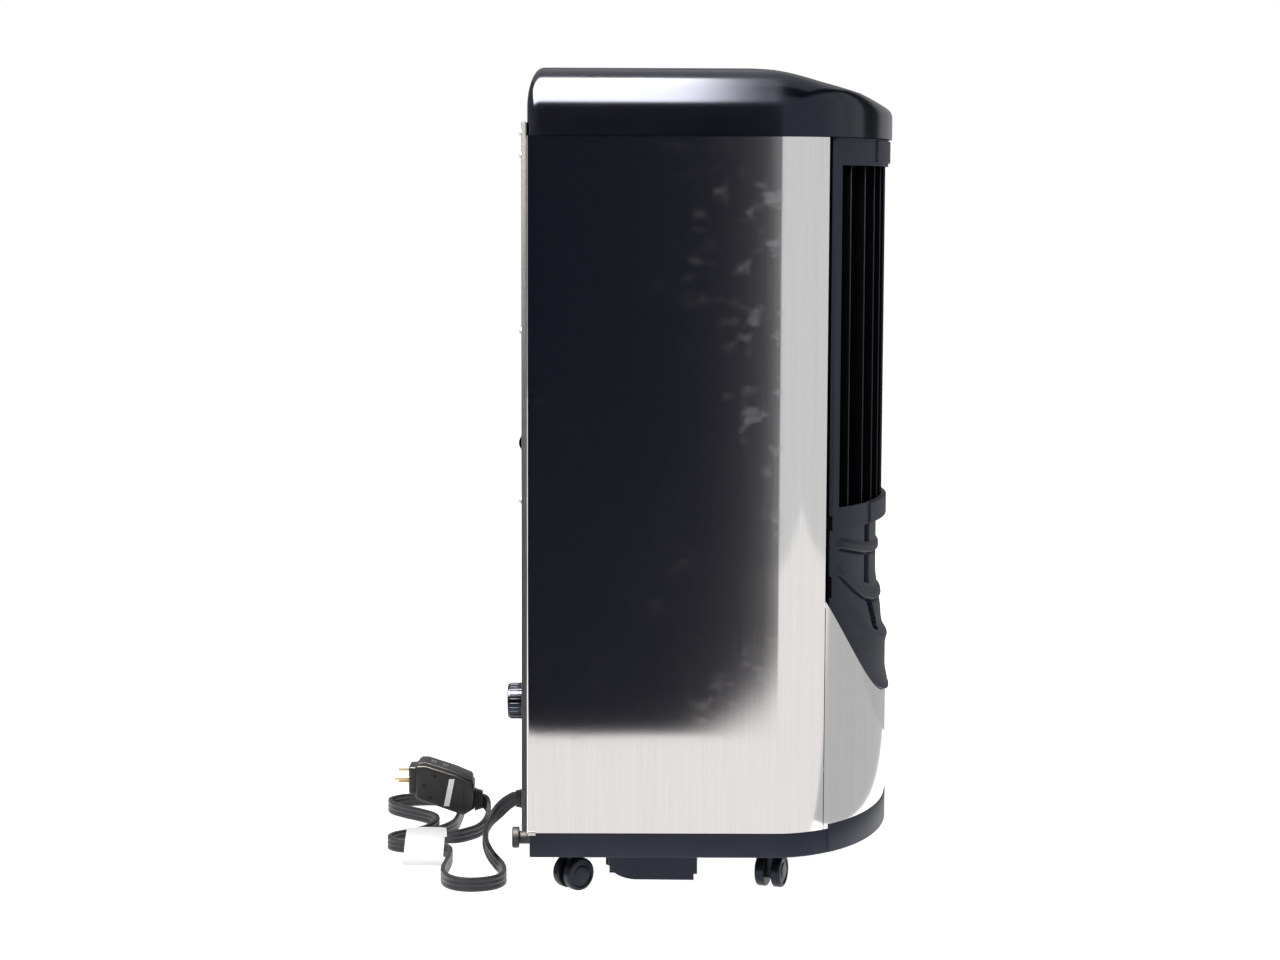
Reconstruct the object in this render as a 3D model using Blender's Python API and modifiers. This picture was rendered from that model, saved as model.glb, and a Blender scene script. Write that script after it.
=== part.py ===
"""A portable air conditioner, in metres: +Z up, the front towards -Y, standing on its casters at Z = 0.

Run with: blender --background --python part.py
"""

import math

import bmesh
import bpy
from mathutils import Matrix, Vector

# ---- The cabinet ----
HALF_WIDTH = 0.220
REAR_Y = 0.173  # the rear fold of the side panels
CURVE_Y = -0.0675  # where the sides start to round into the front
FRONT_Y = -0.191
NOSE_POWER = 1.9  # 2 would make the front half an ellipse
SEAM_X = 0.2005  # where a side panel meets the front
BASE_BOTTOM = 0.037
BASE_TOP = 0.061
PANEL_TOP = 0.731
TOTAL_HEIGHT = 0.796
SHEET = 0.0012
SHELL = 0.003
GAP = 0.0003
CURVE_DEPTH = CURVE_Y - FRONT_Y

# ---- Top cover and its sloped front ----
COVER_STRAIGHT = 0.026
ROLL_HEIGHT = TOTAL_HEIGHT - PANEL_TOP - COVER_STRAIGHT
SIDE_ROLL = 0.040
REAR_ROLL = 0.016
SLOPE_START_Y = -0.060
SLOPE = math.radians(13.4)
SLOPE_BLEND = 0.008
COVER_CORNER = 0.014
FRONT_EDGE_BLEND = 0.008

# ---- Control panel, in its own frame on the slope ----
PANEL_Y = -0.118
PANEL_HALF_WIDTH = 0.115
PANEL_HALF_LENGTH = 0.034
BUTTON_RADIUS = 0.0075
BUTTON_RUN = 0.0003
BUTTON_PROUD = 0.0020
BUTTON_TRAVEL = 0.0012
BUTTON_ROW = -0.014
BUTTON_NAMES = ("power", "mode", "fan_speed", "timer", "warmer", "cooler")
BUTTON_X = (-0.090, -0.054, -0.018, 0.018, 0.054, 0.090)
LENS_HALF_WIDTH = 0.046
LENS_HALF_LENGTH = 0.009
LENS_ROW = 0.014

# ---- Front grille, vanes and duct ----
WINDOW_LOW = 0.3745
WINDOW_HIGH = 0.7045
WINDOW_X = 0.1877
GRILLE_LOW = 0.3345
GRILLE_INSET = 0.0015
RIB_PITCH = 0.0275
RIB_COUNT = 13
RIB_WIDTH = 0.0026
RIB_DEPTH = 0.011
RIB_INSET = 0.003
VANE_X = (-0.130, -0.065, 0.0, 0.065, 0.130)
VANE_BACK = 0.046  # the vane's axis behind the front outline
VANE_CHORD = 0.042
VANE_THICKNESS = 0.002
PIVOT_RADIUS = 0.0022
PIVOT_PLAY = 0.0003
CRANK_ARM = 0.014
CRANK_PIN_RADIUS = 0.0015
LINK_HOLE_RADIUS = 0.0032
LINK_HEIGHT = 0.003
LINK_HALF_DEPTH = 0.006
DUCT_INSET = 0.0165
DUCT_WALL = 0.003
DUCT_REAR_Y = -0.055
DUCT_SIDE_X = 0.184
DUCT_MARGIN = 0.001

# ---- Front trim and lower panel ----
TRIM_TIP_Z = 0.1745
TRIM_SIDE_Z = 0.2865
TRIM_POWER = 3.5
TRIM_RISE = 0.0035
TRIM_WALL = 0.0035

# ---- Rear panel ----
REAR_THICKNESS = 0.005
REAR_HALF_WIDTH = 0.2125
REAR_TOP = 0.7440
INTAKE_HALF_WIDTH = 0.172
INTAKE_LOW = 0.415
INTAKE_HIGH = 0.695
SLOT_PITCH = 0.018
SLOT_HEIGHT = 0.009
PORT_X = 0.055
PORT_Z = 0.225
PORT_RADIUS = 0.066
PORT_WALL = 0.004
COLLAR_LENGTH = 0.028
TAB_X = 0.100
TAB_LOW = 0.422
TAB_HIGH = 0.439
TAB_DEPTH = 0.0062

# ---- Drains and cord entry ----
DRAIN_X = -0.130
DRAIN_Z = 0.1747
SPOUT_RADIUS = 0.0115
CAP_RADIUS = 0.0178
CAP_DEPTH = 0.0163
CAP_FLUTES = 14
LOW_DRAIN_X = -0.150
LOW_DRAIN_Z = 0.041
NECK_RADIUS = 0.0065
NECK_BORE = 0.0045
NECK_END_Y = 0.1825
PLUG_DISC_RADIUS = 0.0105
PLUG_DISC_DEPTH = 0.007
ENTRY_X = -0.140
ENTRY_Z = BASE_TOP + 0.017
BUSH_HALF_WIDTH = 0.0055
BUSH_HALF_HEIGHT = 0.0105
BUSH_END_Y = 0.1845

# ---- Sump, base and casters ----
SUMP_HALF_WIDTH = 0.200
SUMP_PROFILE = (
    (0.0969, BASE_BOTTOM), (0.0969, 0.0174), (0.0886, 0.0174), (0.0830, 0.0140), (0.0760, 0.0118),
    (0.0683, 0.0107), (0.0109, 0.0104), (0.0109, 0.0164), (0.0076, 0.0164), (0.0076, BASE_BOTTOM),
)
BASE_REAR_SETBACK = 0.002
BASE_FLOOR = 0.007
BASE_WALL = 0.010
CASTERS = {
    "rear_left": (-0.186, 0.1215, 40),
    "rear_right": (0.186, 0.1215, -25),
    "front_left": (-0.172, -0.0690, 70),
    "front_right": (0.172, -0.0690, 15),
}
WHEEL_RADIUS = 0.0162
WHEEL_WIDTH = 0.0095
WEB_HALF = 0.0032
WHEEL_PLAY = 0.0004
TRAIL = 0.0090
HOOD_OUTER = 0.0195
HOOD_INNER = 0.0172
AXLE_RADIUS = 0.0025
STEM_RADIUS = 0.0040
STEM_TOP = 0.0430
CASTER_SIDES = 24

# ---- Inside ----
DECK_LOW = 0.358
DECK_THICKNESS = 0.004
FAN_AXIS_Z = 0.540
BLOWER_BLADES = 16
COOLING_FAN_X = 0.075
COOLING_FAN_Z = 0.205
COIL_FRONT_Y = 0.1003
COIL_REAR_Y = 0.140
COIL_PLATE = 0.005
COIL_FOOT = 0.030
COMPRESSOR_X = -0.105
COMPRESSOR_Y = -0.030
COMPRESSOR_RADIUS = 0.060

# ---- Plug and cord ----
PLUG_X = 0.071
PLUG_HALF_WIDTH = 0.018
PLUG_BOTTOM = 0.0168
PLUG_PROFILE = (
    (0.2385, PLUG_BOTTOM), (0.3000, PLUG_BOTTOM), (0.3020, 0.0720), (0.2930, 0.0745),
    (0.2600, 0.0640), (0.2400, 0.0540),
)
NOSE_BOX = ((0.2980, 0.0270), (0.3105, 0.0670))
PIN_TIP_Y = 0.3245
PIN_CENTRE_Z = 0.0555
BLADE_SPACING = 0.0127
CORD_RADIUS = 0.004
CORD_STEP = 0.013
CORD_ROUTE = (
    (-0.1400, 0.1885, 0.0778), (-0.1400, 0.1970, 0.0720), (-0.1400, 0.2050, 0.0635),
    (-0.1390, 0.2125, 0.0530), (-0.1360, 0.2165, 0.0410), (-0.1310, 0.2160, 0.0290),
    (-0.1270, 0.2120, 0.0175), (-0.1290, 0.2060, 0.0100), (-0.1420, 0.2005, 0.0078),
    (-0.1620, 0.1975, 0.0076), (-0.1820, 0.1975, 0.0076), (-0.1985, 0.2045, 0.0076),
    (-0.2070, 0.2170, 0.0076), (-0.2090, 0.2310, 0.0076), (-0.2030, 0.2440, 0.0076),
    (-0.1900, 0.2530, 0.0076), (-0.1700, 0.2575, 0.0076), (-0.1400, 0.2570, 0.0076),
    (-0.1100, 0.2550, 0.0076), (-0.0800, 0.2560, 0.0076), (-0.0600, 0.2650, 0.0076),
    (-0.0500, 0.2790, 0.0076), (-0.0480, 0.2950, 0.0076), (-0.0440, 0.3110, 0.0076),
    (-0.0300, 0.3215, 0.0076), (-0.0120, 0.3170, 0.0076), (0.0010, 0.3030, 0.0076),
    (0.0150, 0.2900, 0.0076), (0.0360, 0.2810, 0.0076), (0.0580, 0.2780, 0.0076),
    (0.0780, 0.2830, 0.0076), (0.0960, 0.2970, 0.0076), (0.1150, 0.3170, 0.0076),
    (0.1340, 0.3320, 0.0076), (0.1540, 0.3355, 0.0076), (0.1700, 0.3240, 0.0076),
    (0.1765, 0.3050, 0.0076), (0.1765, 0.2850, 0.0076), (0.1680, 0.2680, 0.0076),
    (0.1480, 0.2580, 0.0076), (0.1220, 0.2555, 0.0076), (0.0960, 0.2560, 0.0076),
    (0.0700, 0.2570, 0.0076), (0.0480, 0.2590, 0.0076), (0.0300, 0.2650, 0.0076),
    (0.0160, 0.2720, 0.0076), (0.0040, 0.2725, 0.0076), (-0.0040, 0.2640, 0.0076),
    (-0.0030, 0.2530, 0.0076), (0.0070, 0.2430, 0.0076), (0.0220, 0.2330, 0.0080),
    (0.0360, 0.2265, 0.0110), (0.0500, 0.2235, 0.0170), (0.0620, 0.2240, 0.0240),
    (0.0695, 0.2280, 0.0290), (0.0710, 0.2340, 0.0310),
)
CORD_END = (PLUG_X, PLUG_PROFILE[0][0] + GAP, 0.0310)


# ---- Shapes that several pieces share ----
def nose_y(x, inset=0.0):
    """Y of the cabinet's curved front outline at x, drawn in by inset."""
    share = min(abs(x) / (HALF_WIDTH - inset), 1.0)
    return CURVE_Y - (CURVE_DEPTH - inset) * (1 - share**NOSE_POWER) ** (1 / NOSE_POWER)


def nose_points(inset, from_x, to_x, count):
    """Points of the front outline from one x to another, evenly spread along the curve."""
    reach = HALF_WIDTH - inset

    def phase_of(x):
        return math.acos(math.copysign(min(abs(x) / reach, 1.0) ** (NOSE_POWER / 2), x))

    start, end = phase_of(from_x), phase_of(to_x)
    points = []
    for step in range(count + 1):
        phase = start + (end - start) * step / count
        x = math.copysign(abs(math.cos(phase)) ** (2 / NOSE_POWER), math.cos(phase)) * reach
        points.append((x, nose_y(x, inset)))
    return points


def plan_outline(inset, rear_y, count=28):
    """The cabinet's whole plan, anticlockwise from the rear right corner."""
    half = HALF_WIDTH - inset
    front = nose_points(inset, half, -half, count)
    return [(half, rear_y)] + front + [(-half, rear_y)]


def front_band(inset, thickness, half_x, count):
    """The plan of a wall that follows the curved front between -half_x and half_x."""
    outer = nose_points(inset, half_x, -half_x, count)
    inner = nose_points(inset + thickness, half_x, -half_x, count)
    return outer + inner[::-1]


def slope_z(y):
    """Height of the cover's top at y: flat, then bending smoothly into the slope towards the front."""
    forward = max(SLOPE_START_Y + SLOPE_BLEND - y, 0.0)
    if forward < 2 * SLOPE_BLEND:
        return TOTAL_HEIGHT - math.tan(SLOPE) * forward**2 / (4 * SLOPE_BLEND)
    return TOTAL_HEIGHT - math.tan(SLOPE) * (forward - SLOPE_BLEND)


def trim_edge_z(x):
    """The V-like lower edge of the front trim."""
    return TRIM_TIP_Z + (TRIM_SIDE_Z - TRIM_TIP_Z) * (abs(x) / SEAM_X) ** TRIM_POWER


def smooth_path(points, step):
    """Points about one step apart on a smooth curve through all of the given ones."""
    vectors = [Vector(point) for point in points]
    ends = [vectors[0] * 2 - vectors[1]] + vectors + [vectors[-1] * 2 - vectors[-2]]
    fine = []
    for before, start, end, after in zip(ends, ends[1:], ends[2:], ends[3:]):
        for part in range(12):
            t = part / 12
            fine.append(0.5 * (2 * start + (end - before) * t
                               + (2 * before - 5 * start + 4 * end - after) * t * t
                               + (3 * start - before - 3 * end + after) * t**3))
    fine.append(vectors[-1])
    total = sum((b - a).length for a, b in zip(fine, fine[1:]))
    count = max(2, round(total / step))
    picked, travelled, wanted = [fine[0]], 0.0, total / count
    for a, b in zip(fine, fine[1:]):
        length = (b - a).length
        while travelled + length >= wanted and len(picked) < count:
            picked.append(a.lerp(b, (wanted - travelled) / length))
            wanted += total / count
        travelled += length
    return picked + [fine[-1]]


# ---- Blender helpers ----
def new_collection(name):
    collection = bpy.data.collections.new(name)
    bpy.context.scene.collection.children.link(collection)
    return collection


def new_material(name, colour, roughness, metallic=0.0):
    material = bpy.data.materials.new(name)
    material.use_nodes = True
    shader = material.node_tree.nodes["Principled BSDF"]
    shader.inputs["Base Color"].default_value = (*colour, 1)
    shader.inputs["Roughness"].default_value = roughness
    shader.inputs["Metallic"].default_value = metallic
    return material


for existing in list(bpy.data.objects):
    bpy.data.objects.remove(existing)
UNIT = new_collection("portable_air_conditioner")
CUTTERS = new_collection("cutters")
CHARCOAL = new_material("charcoal_plastic", (0.045, 0.048, 0.056), 0.5)
COVER_BLACK = new_material("cover_plastic", (0.018, 0.020, 0.027), 0.22)
STEEL = new_material("brushed_steel", (0.66, 0.65, 0.64), 0.3, 1.0)
REAR_BLACK = new_material("rear_plastic", (0.02, 0.02, 0.022), 0.55)
CASTER_BLACK = new_material("caster_plastic", (0.012, 0.012, 0.013), 0.4)
LENS_DARK = new_material("display_lens", (0.01, 0.01, 0.012), 0.08)
KEY_GREY = new_material("key_plastic", (0.32, 0.33, 0.35), 0.45)
GALVANISED = new_material("galvanised_steel", (0.55, 0.56, 0.57), 0.45, 1.0)
FIN_ALUMINIUM = new_material("fin_aluminium", (0.75, 0.76, 0.77), 0.4, 1.0)
COPPER = new_material("copper_pipe", (0.72, 0.33, 0.2), 0.3, 1.0)
MOTOR_BLACK = new_material("compressor_paint", (0.015, 0.015, 0.016), 0.35)
INNER_WHITE = new_material("inner_plastic", (0.62, 0.62, 0.6), 0.5)
FILTER_GREY = new_material("filter_mesh", (0.2, 0.2, 0.21), 0.8)
CORD_BLACK = new_material("cord_rubber", (0.02, 0.02, 0.023), 0.45)
BRASS = new_material("pin_brass", (0.62, 0.45, 0.22), 0.3, 1.0)
PAPER = new_material("tag_paper", (0.82, 0.82, 0.82), 0.7)


def finish(bm, name, material, place=None):
    """Closes a bmesh into a named object; place moves its geometry into the unit's frame."""
    if place is not None:
        bmesh.ops.transform(bm, matrix=place, verts=bm.verts)
    bmesh.ops.recalc_face_normals(bm, faces=bm.faces)
    mesh = bpy.data.meshes.new(name)
    bm.to_mesh(mesh)
    bm.free()
    obj = bpy.data.objects.new(name, mesh)
    if material is None:
        CUTTERS.objects.link(obj)
        obj.hide_render = True
        obj.display_type = "WIRE"
    else:
        mesh.materials.append(material)
        mesh.shade_smooth()
        mesh.set_sharp_from_angle(angle=math.radians(35))
        UNIT.objects.link(obj)
    return obj


def hinge_at(obj, point, tilt=None):
    """Puts the object's origin on its joint, leaving its shape where it is."""
    matrix = Matrix.Translation(point)
    if tilt is not None:
        matrix = matrix @ tilt
    obj.data.transform(matrix.inverted())
    obj.matrix_world = matrix
    return obj


def combine(obj, other, operation):
    modifier = obj.modifiers.new(f"{operation.lower()} {other.name}", "BOOLEAN")
    modifier.operation = operation
    modifier.object = other
    return obj


def cut(obj, *cutters):
    for cutter in cutters:
        combine(obj, cutter, "DIFFERENCE")
    return obj


def join(obj, *others):
    for other in others:
        combine(obj, other, "UNION")
    return obj


def add_box(bm, low, high):
    size = [b - a for a, b in zip(low, high)]
    centre = [(a + b) / 2 for a, b in zip(low, high)]
    matrix = Matrix.Translation(centre) @ Matrix.Diagonal((*size, 1))
    return bmesh.ops.create_cube(bm, size=1, matrix=matrix)["verts"]


def axis_turn(axis):
    """A rotation that takes +Z to the named axis."""
    return {"Z": Matrix.Identity(4), "X": Matrix.Rotation(math.pi / 2, 4, "Y"),
            "Y": Matrix.Rotation(-math.pi / 2, 4, "X")}[axis]


def add_rod(bm, axis, centre, radius, start, end, sides=24, end_radius=None):
    """A cylinder or cone along an axis through centre, from start to end on that axis."""
    middle = list(centre)
    middle["XYZ".index(axis)] = (start + end) / 2
    matrix = Matrix.Translation(middle) @ axis_turn(axis)
    bmesh.ops.create_cone(bm, cap_ends=True, segments=sides, radius1=radius,
                          radius2=radius if end_radius is None else end_radius,
                          depth=end - start, matrix=matrix)


def add_prism(bm, outline, low, high):
    """A flat outline in XY made solid from z = low to z = high."""
    face = bm.faces.new([bm.verts.new((x, y, low)) for x, y in outline])
    raised = bmesh.ops.extrude_face_region(bm, geom=[face])["geom"]
    bmesh.ops.translate(bm, vec=(0, 0, high - low),
                        verts=[item for item in raised if isinstance(item, bmesh.types.BMVert)])


def box(name, low, high, material, *more):
    """One or more boxes in one object; more holds further (low, high) pairs."""
    bm = bmesh.new()
    add_box(bm, low, high)
    for pair in more:
        add_box(bm, *pair)
    return finish(bm, name, material)


def rod(name, axis, centre, radius, start, end, material, sides=24, end_radius=None):
    bm = bmesh.new()
    add_rod(bm, axis, centre, radius, start, end, sides, end_radius)
    return finish(bm, name, material)


def prism(name, outline, low, high, material, place=None):
    bm = bmesh.new()
    add_prism(bm, outline, low, high)
    return finish(bm, name, material, place)


def side_prism(name, profile, half_width, centre_x, material):
    """A (y, z) profile made solid along X."""
    turn = Matrix(((0, 0, 1, centre_x), (1, 0, 0, 0), (0, 1, 0, 0), (0, 0, 0, 1)))
    return prism(name, profile, -half_width, half_width, material, turn)


def front_prism(name, profile, start_y, end_y, material):
    """An (x, z) profile made solid along Y."""
    turn = Matrix(((1, 0, 0, 0), (0, 0, 1, 0), (0, 1, 0, 0), (0, 0, 0, 1)))
    return prism(name, profile, start_y, end_y, material, turn)


def turned(name, profile, axis, centre, material, steps=32):
    """A closed (radius, height) profile spun about an axis through centre."""
    bm = bmesh.new()
    verts = [bm.verts.new((radius, 0, height)) for radius, height in profile]
    edges = [bm.edges.new(pair) for pair in zip(verts, verts[1:] + verts[:1])]
    bmesh.ops.spin(bm, geom=verts + edges, cent=(0, 0, 0), axis=(0, 0, 1), angle=math.tau,
                   steps=steps, use_merge=True, use_duplicate=False)
    bmesh.ops.remove_doubles(bm, verts=bm.verts, dist=1e-5)
    return finish(bm, name, material, Matrix.Translation(centre) @ axis_turn(axis))


def bevel(obj, width, segments=2):
    modifier = obj.modifiers.new("rounded edges", "BEVEL")
    modifier.width = width
    modifier.segments = segments
    modifier.limit_method = "ANGLE"
    modifier.angle_limit = math.radians(40)
    return obj


def tube(name, points, radius, material, resolution=2):
    """A round tube along points, with filled ends."""
    curve = bpy.data.curves.new(name, "CURVE")
    curve.dimensions = "3D"
    curve.bevel_depth = radius
    curve.bevel_resolution = resolution
    curve.use_fill_caps = True
    spline = curve.splines.new("POLY")
    spline.points.add(len(points) - 1)
    for point, place in zip(spline.points, points):
        point.co = (*place, 1)
    curve.materials.append(material)
    obj = bpy.data.objects.new(name, curve)
    UNIT.objects.link(obj)
    return obj


# ---- Base, sump and casters ----
def build_base():
    rear = REAR_Y - BASE_REAR_SETBACK
    base = prism("base_pan", plan_outline(0.0, rear), BASE_BOTTOM, BASE_TOP, CHARCOAL)
    pocket = prism("base_pocket", plan_outline(BASE_WALL, rear - BASE_WALL), BASE_BOTTOM + BASE_FLOOR,
                   BASE_TOP + 0.01, None)
    stems = bmesh.new()
    for x, y, _ in CASTERS.values():
        add_rod(stems, "Z", (x, y, 0), STEM_RADIUS + PIVOT_PLAY, BASE_BOTTOM - 0.01, BASE_BOTTOM + 0.03)
    stems = finish(stems, "stem_holes", None)
    neck = rod("drain_neck", "Y", (LOW_DRAIN_X, 0, LOW_DRAIN_Z), NECK_RADIUS, rear - 0.004, NECK_END_Y, None)
    bore = rod("drain_bore", "Y", (LOW_DRAIN_X, 0, LOW_DRAIN_Z), NECK_BORE, rear - 0.006, NECK_END_Y + 0.01,
               None)
    return cut(join(cut(base, pocket, stems), neck), bore)


def build_sump():
    sump = side_prism("drain_sump", SUMP_PROFILE, SUMP_HALF_WIDTH, 0, CHARCOAL)
    sump.data.transform(Matrix.Translation((0, 0, -GAP)))
    hollow = box("sump_hollow", (-0.17, 0.0230, 0.0200), (0.17, 0.0820, 0.05), None)
    keep_out = bmesh.new()
    for x, y, _ in CASTERS.values():
        add_rod(keep_out, "Z", (x, y, 0), TRAIL + HOOD_OUTER + 0.003, -0.01, 0.06)
    return cut(sump, hollow, finish(keep_out, "caster_sweep", None))


def build_caster(place, x, y, turn):
    """One twin-wheel caster: turn is its swivel in degrees; at 0 it trails towards +Y."""
    reach = WEB_HALF + WHEEL_PLAY + WHEEL_WIDTH
    axle = (0, TRAIL, WHEEL_RADIUS)
    hood = rod(f"caster_hood_{place}", "X", axle, HOOD_OUTER, -reach, reach, CASTER_BLACK, CASTER_SIDES)
    openings = bmesh.new()
    add_rod(openings, "X", axle, HOOD_INNER, WEB_HALF, reach + 0.01, CASTER_SIDES)
    add_rod(openings, "X", axle, HOOD_INNER, -reach - 0.01, -WEB_HALF, CASTER_SIDES)
    openings = finish(openings, f"wheel_space_{place}", None)
    below = box(f"hood_opening_{place}", (-0.03, -0.04, -0.02), (0.03, 0.06, WHEEL_RADIUS + 0.003), None)
    web = box(f"caster_web_{place}", (-WEB_HALF, TRAIL - 0.006, 0.0095),
              (WEB_HALF, TRAIL + 0.006, WHEEL_RADIUS + HOOD_INNER), None)
    over_wheel = math.sqrt(((WHEEL_RADIUS + HOOD_INNER) / 2) ** 2 - (TRAIL - STEM_RADIUS) ** 2)
    stem = rod(f"caster_stem_{place}", "Z", (0, 0, 0), STEM_RADIUS, WHEEL_RADIUS + over_wheel, STEM_TOP, None,
               16)
    bore = rod(f"axle_bore_{place}", "X", axle, AXLE_RADIUS + PIVOT_PLAY, -0.02, 0.02, None, 16)
    cut(join(cut(hood, openings, below), web, stem), bore)
    wheels = bmesh.new()
    add_rod(wheels, "X", axle, WHEEL_RADIUS, WEB_HALF + WHEEL_PLAY, reach, CASTER_SIDES)
    wheels = finish(wheels, f"caster_wheels_{place}", CASTER_BLACK)
    other = rod(f"other_wheel_{place}", "X", axle, WHEEL_RADIUS, -reach, -WEB_HALF - WHEEL_PLAY, None,
                CASTER_SIDES)
    shaft = rod(f"axle_{place}", "X", axle, AXLE_RADIUS, -reach + 0.002, reach - 0.002, None, 16)
    join(wheels, shaft, other)
    matrix = Matrix.Translation((x, y, 0)) @ Matrix.Rotation(math.radians(turn), 4, "Z")
    for piece in (hood, openings, below, web, stem, bore, wheels, other, shaft):
        piece.matrix_world = matrix
    for piece in (wheels, other, shaft):
        piece.data.transform(Matrix.Translation((0, -TRAIL, -WHEEL_RADIUS)))
        piece.matrix_world = matrix @ Matrix.Translation(axle)


# ---- Steel and front mouldings ----
def build_side_panel(name, side):
    """A folded sheet: rear return, flat side and the curve up to the front seam."""
    def half(inset):
        curve = nose_points(inset, HALF_WIDTH - inset, SEAM_X + GAP, 10)
        return [(HALF_WIDTH - 0.016, REAR_Y - inset), (HALF_WIDTH - inset, REAR_Y - inset)] + curve
    outline = half(0.0) + half(SHEET)[::-1]
    outline = [(side * x, y) for x, y in outline]
    return prism(name, outline, BASE_TOP + GAP, PANEL_TOP - GAP, STEEL)


def build_lower_panel():
    panel = prism("lower_front_panel", front_band(0.0, SHEET, SEAM_X, 24), BASE_TOP + GAP,
                  TRIM_SIDE_Z + 0.02, STEEL)
    edge = [(x / 100, trim_edge_z(x / 100)) for x in range(-22, 23, 2)]
    above = front_prism("panel_top_cut", edge + [(0.22, 0.5), (-0.22, 0.5)], -0.3, 0.0, None)
    return cut(panel, above)


def trim_inset(x, z):
    """How far the trim's face lies inside the outline: three curved ridges that run to the centre."""
    out = abs(x) / SEAM_X
    ridges = (
        (0.3215 + 0.020 * out**4, 0.0050, 0.6),
        (0.2560 + 0.062 * out**2.2, 0.0060, 0.8),
        (0.2240 + 0.085 * out**2.2, 0.0065, 1.0),
    )
    lift = sum(height * math.exp(-(((z - middle) / width) ** 2)) for middle, width, height in ridges)
    tip = max(0.0, 1 - (z - TRIM_TIP_Z) / 0.05) * (1 - out**2)
    return 0.0060 - TRIM_RISE * lift - 0.0075 * max(tip, 0.0)


def build_trim():
    """The ridged moulding between the grille and the lower panel."""
    columns, rows = 24, 13
    bm = bmesh.new()
    layers = []
    for depth in (0.0, TRIM_WALL):
        grid = []
        for row in range(rows + 1):
            z = TRIM_TIP_Z - 0.002 + (GRILLE_LOW - GAP - TRIM_TIP_Z + 0.002) * row / rows
            base = nose_points(0.0, SEAM_X - GAP, -SEAM_X + GAP, columns)
            line = []
            for x, _ in base:
                inset = trim_inset(x, z) + depth
                squeeze = (HALF_WIDTH - inset) / HALF_WIDTH
                line.append(bm.verts.new((x * squeeze, nose_y(x * squeeze, inset), z)))
            grid.append(line)
        layers.append(grid)
    front, back = layers
    for row in range(rows):
        for column in range(columns):
            for grid in layers:
                bm.faces.new((grid[row][column], grid[row][column + 1],
                              grid[row + 1][column + 1], grid[row + 1][column]))
    rims = [
        [(row, 0) for row in range(rows + 1)], [(row, columns) for row in range(rows + 1)],
        [(0, column) for column in range(columns + 1)], [(rows, column) for column in range(columns + 1)],
    ]
    for rim in rims:
        for (a, b), (c, d) in zip(rim, rim[1:]):
            bm.faces.new((front[a][b], front[c][d], back[c][d], back[a][b]))
    trim = finish(bm, "front_trim", CHARCOAL)
    edge = [(x / 100, trim_edge_z(x / 100) + GAP) for x in range(-22, 23, 2)]
    below = front_prism("trim_bottom_cut", [(-0.22, 0.0)] + edge + [(0.22, 0.0)], -0.3, 0.0, None)
    return cut(trim, below)


def build_grille():
    grille = prism("front_grille", front_band(GRILLE_INSET, SHELL, SEAM_X - GAP, 28), GRILLE_LOW,
                   PANEL_TOP - GAP, CHARCOAL)
    window = box("grille_window", (-WINDOW_X, -0.3, WINDOW_LOW), (WINDOW_X, 0.0, WINDOW_HIGH), None)
    ribs = bmesh.new()
    for index in range(RIB_COUNT):
        x = (index - (RIB_COUNT - 1) / 2) * RIB_PITCH
        slope = (nose_y(x + 1e-4, RIB_INSET) - nose_y(x - 1e-4, RIB_INSET)) / 2e-4
        verts = add_box(ribs, (-RIB_WIDTH / 2, 0, WINDOW_LOW - 0.004),
                        (RIB_WIDTH / 2, RIB_DEPTH, WINDOW_HIGH + 0.004))
        turn = Matrix.Translation((x, nose_y(x, RIB_INSET), 0)) @ Matrix.Rotation(math.atan(slope), 4, "Z")
        bmesh.ops.transform(ribs, matrix=turn, verts=verts)
    return join(cut(grille, window), finish(ribs, "grille_ribs", None))


# ---- Louvre ----
def vane_axis(x):
    return x, nose_y(x) + VANE_BACK


def build_duct():
    low, high = WINDOW_LOW - DUCT_MARGIN, WINDOW_HIGH + DUCT_MARGIN
    front = nose_points(DUCT_INSET, 0.19, -0.19, 24)
    outline = [(0.19, DUCT_REAR_Y)] + front + [(-0.19, DUCT_REAR_Y)]
    duct = prism("outlet_duct", outline, low - DUCT_WALL, high + DUCT_WALL, INNER_WHITE)
    hollow = box("duct_hollow", (-DUCT_SIDE_X, -0.3, low), (DUCT_SIDE_X, 0.1, high), None)
    holes = bmesh.new()
    for x in VANE_X:
        add_rod(holes, "Z", (*vane_axis(x), 0), PIVOT_RADIUS + PIVOT_PLAY, 0.3, 0.8, 16)
    return cut(duct, hollow, finish(holes, "pivot_holes", None))


def build_vane(index, x):
    """An upright blade on two pivots, with a crank pin for the link bar above its top edge."""
    centre = vane_axis(x)
    low, high = WINDOW_LOW + 0.002, WINDOW_HIGH - 0.012
    vane = box(f"louvre_vane_{index}", (x - VANE_THICKNESS / 2, centre[1] - VANE_CHORD / 2, low),
               (x + VANE_THICKNESS / 2, centre[1] + VANE_CHORD / 2, high), CHARCOAL)
    pins = bmesh.new()
    add_rod(pins, "Z", (*centre, 0), PIVOT_RADIUS, WINDOW_LOW - DUCT_WALL, low + 0.02, 16)
    pins = finish(pins, f"vane_pivot_low_{index}", None)
    top = rod(f"vane_pivot_high_{index}", "Z", (*centre, 0), PIVOT_RADIUS, high - 0.02,
              WINDOW_HIGH + DUCT_WALL, None, 16)
    crank = rod(f"vane_crank_{index}", "Z", (x, centre[1] + CRANK_ARM, 0), CRANK_PIN_RADIUS,
                high - 0.010, high + 0.009, None, 12)
    join(vane, pins, top, crank)
    for piece in (vane, pins, top, crank):
        hinge_at(piece, (*centre, (low + high) / 2))


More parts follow.
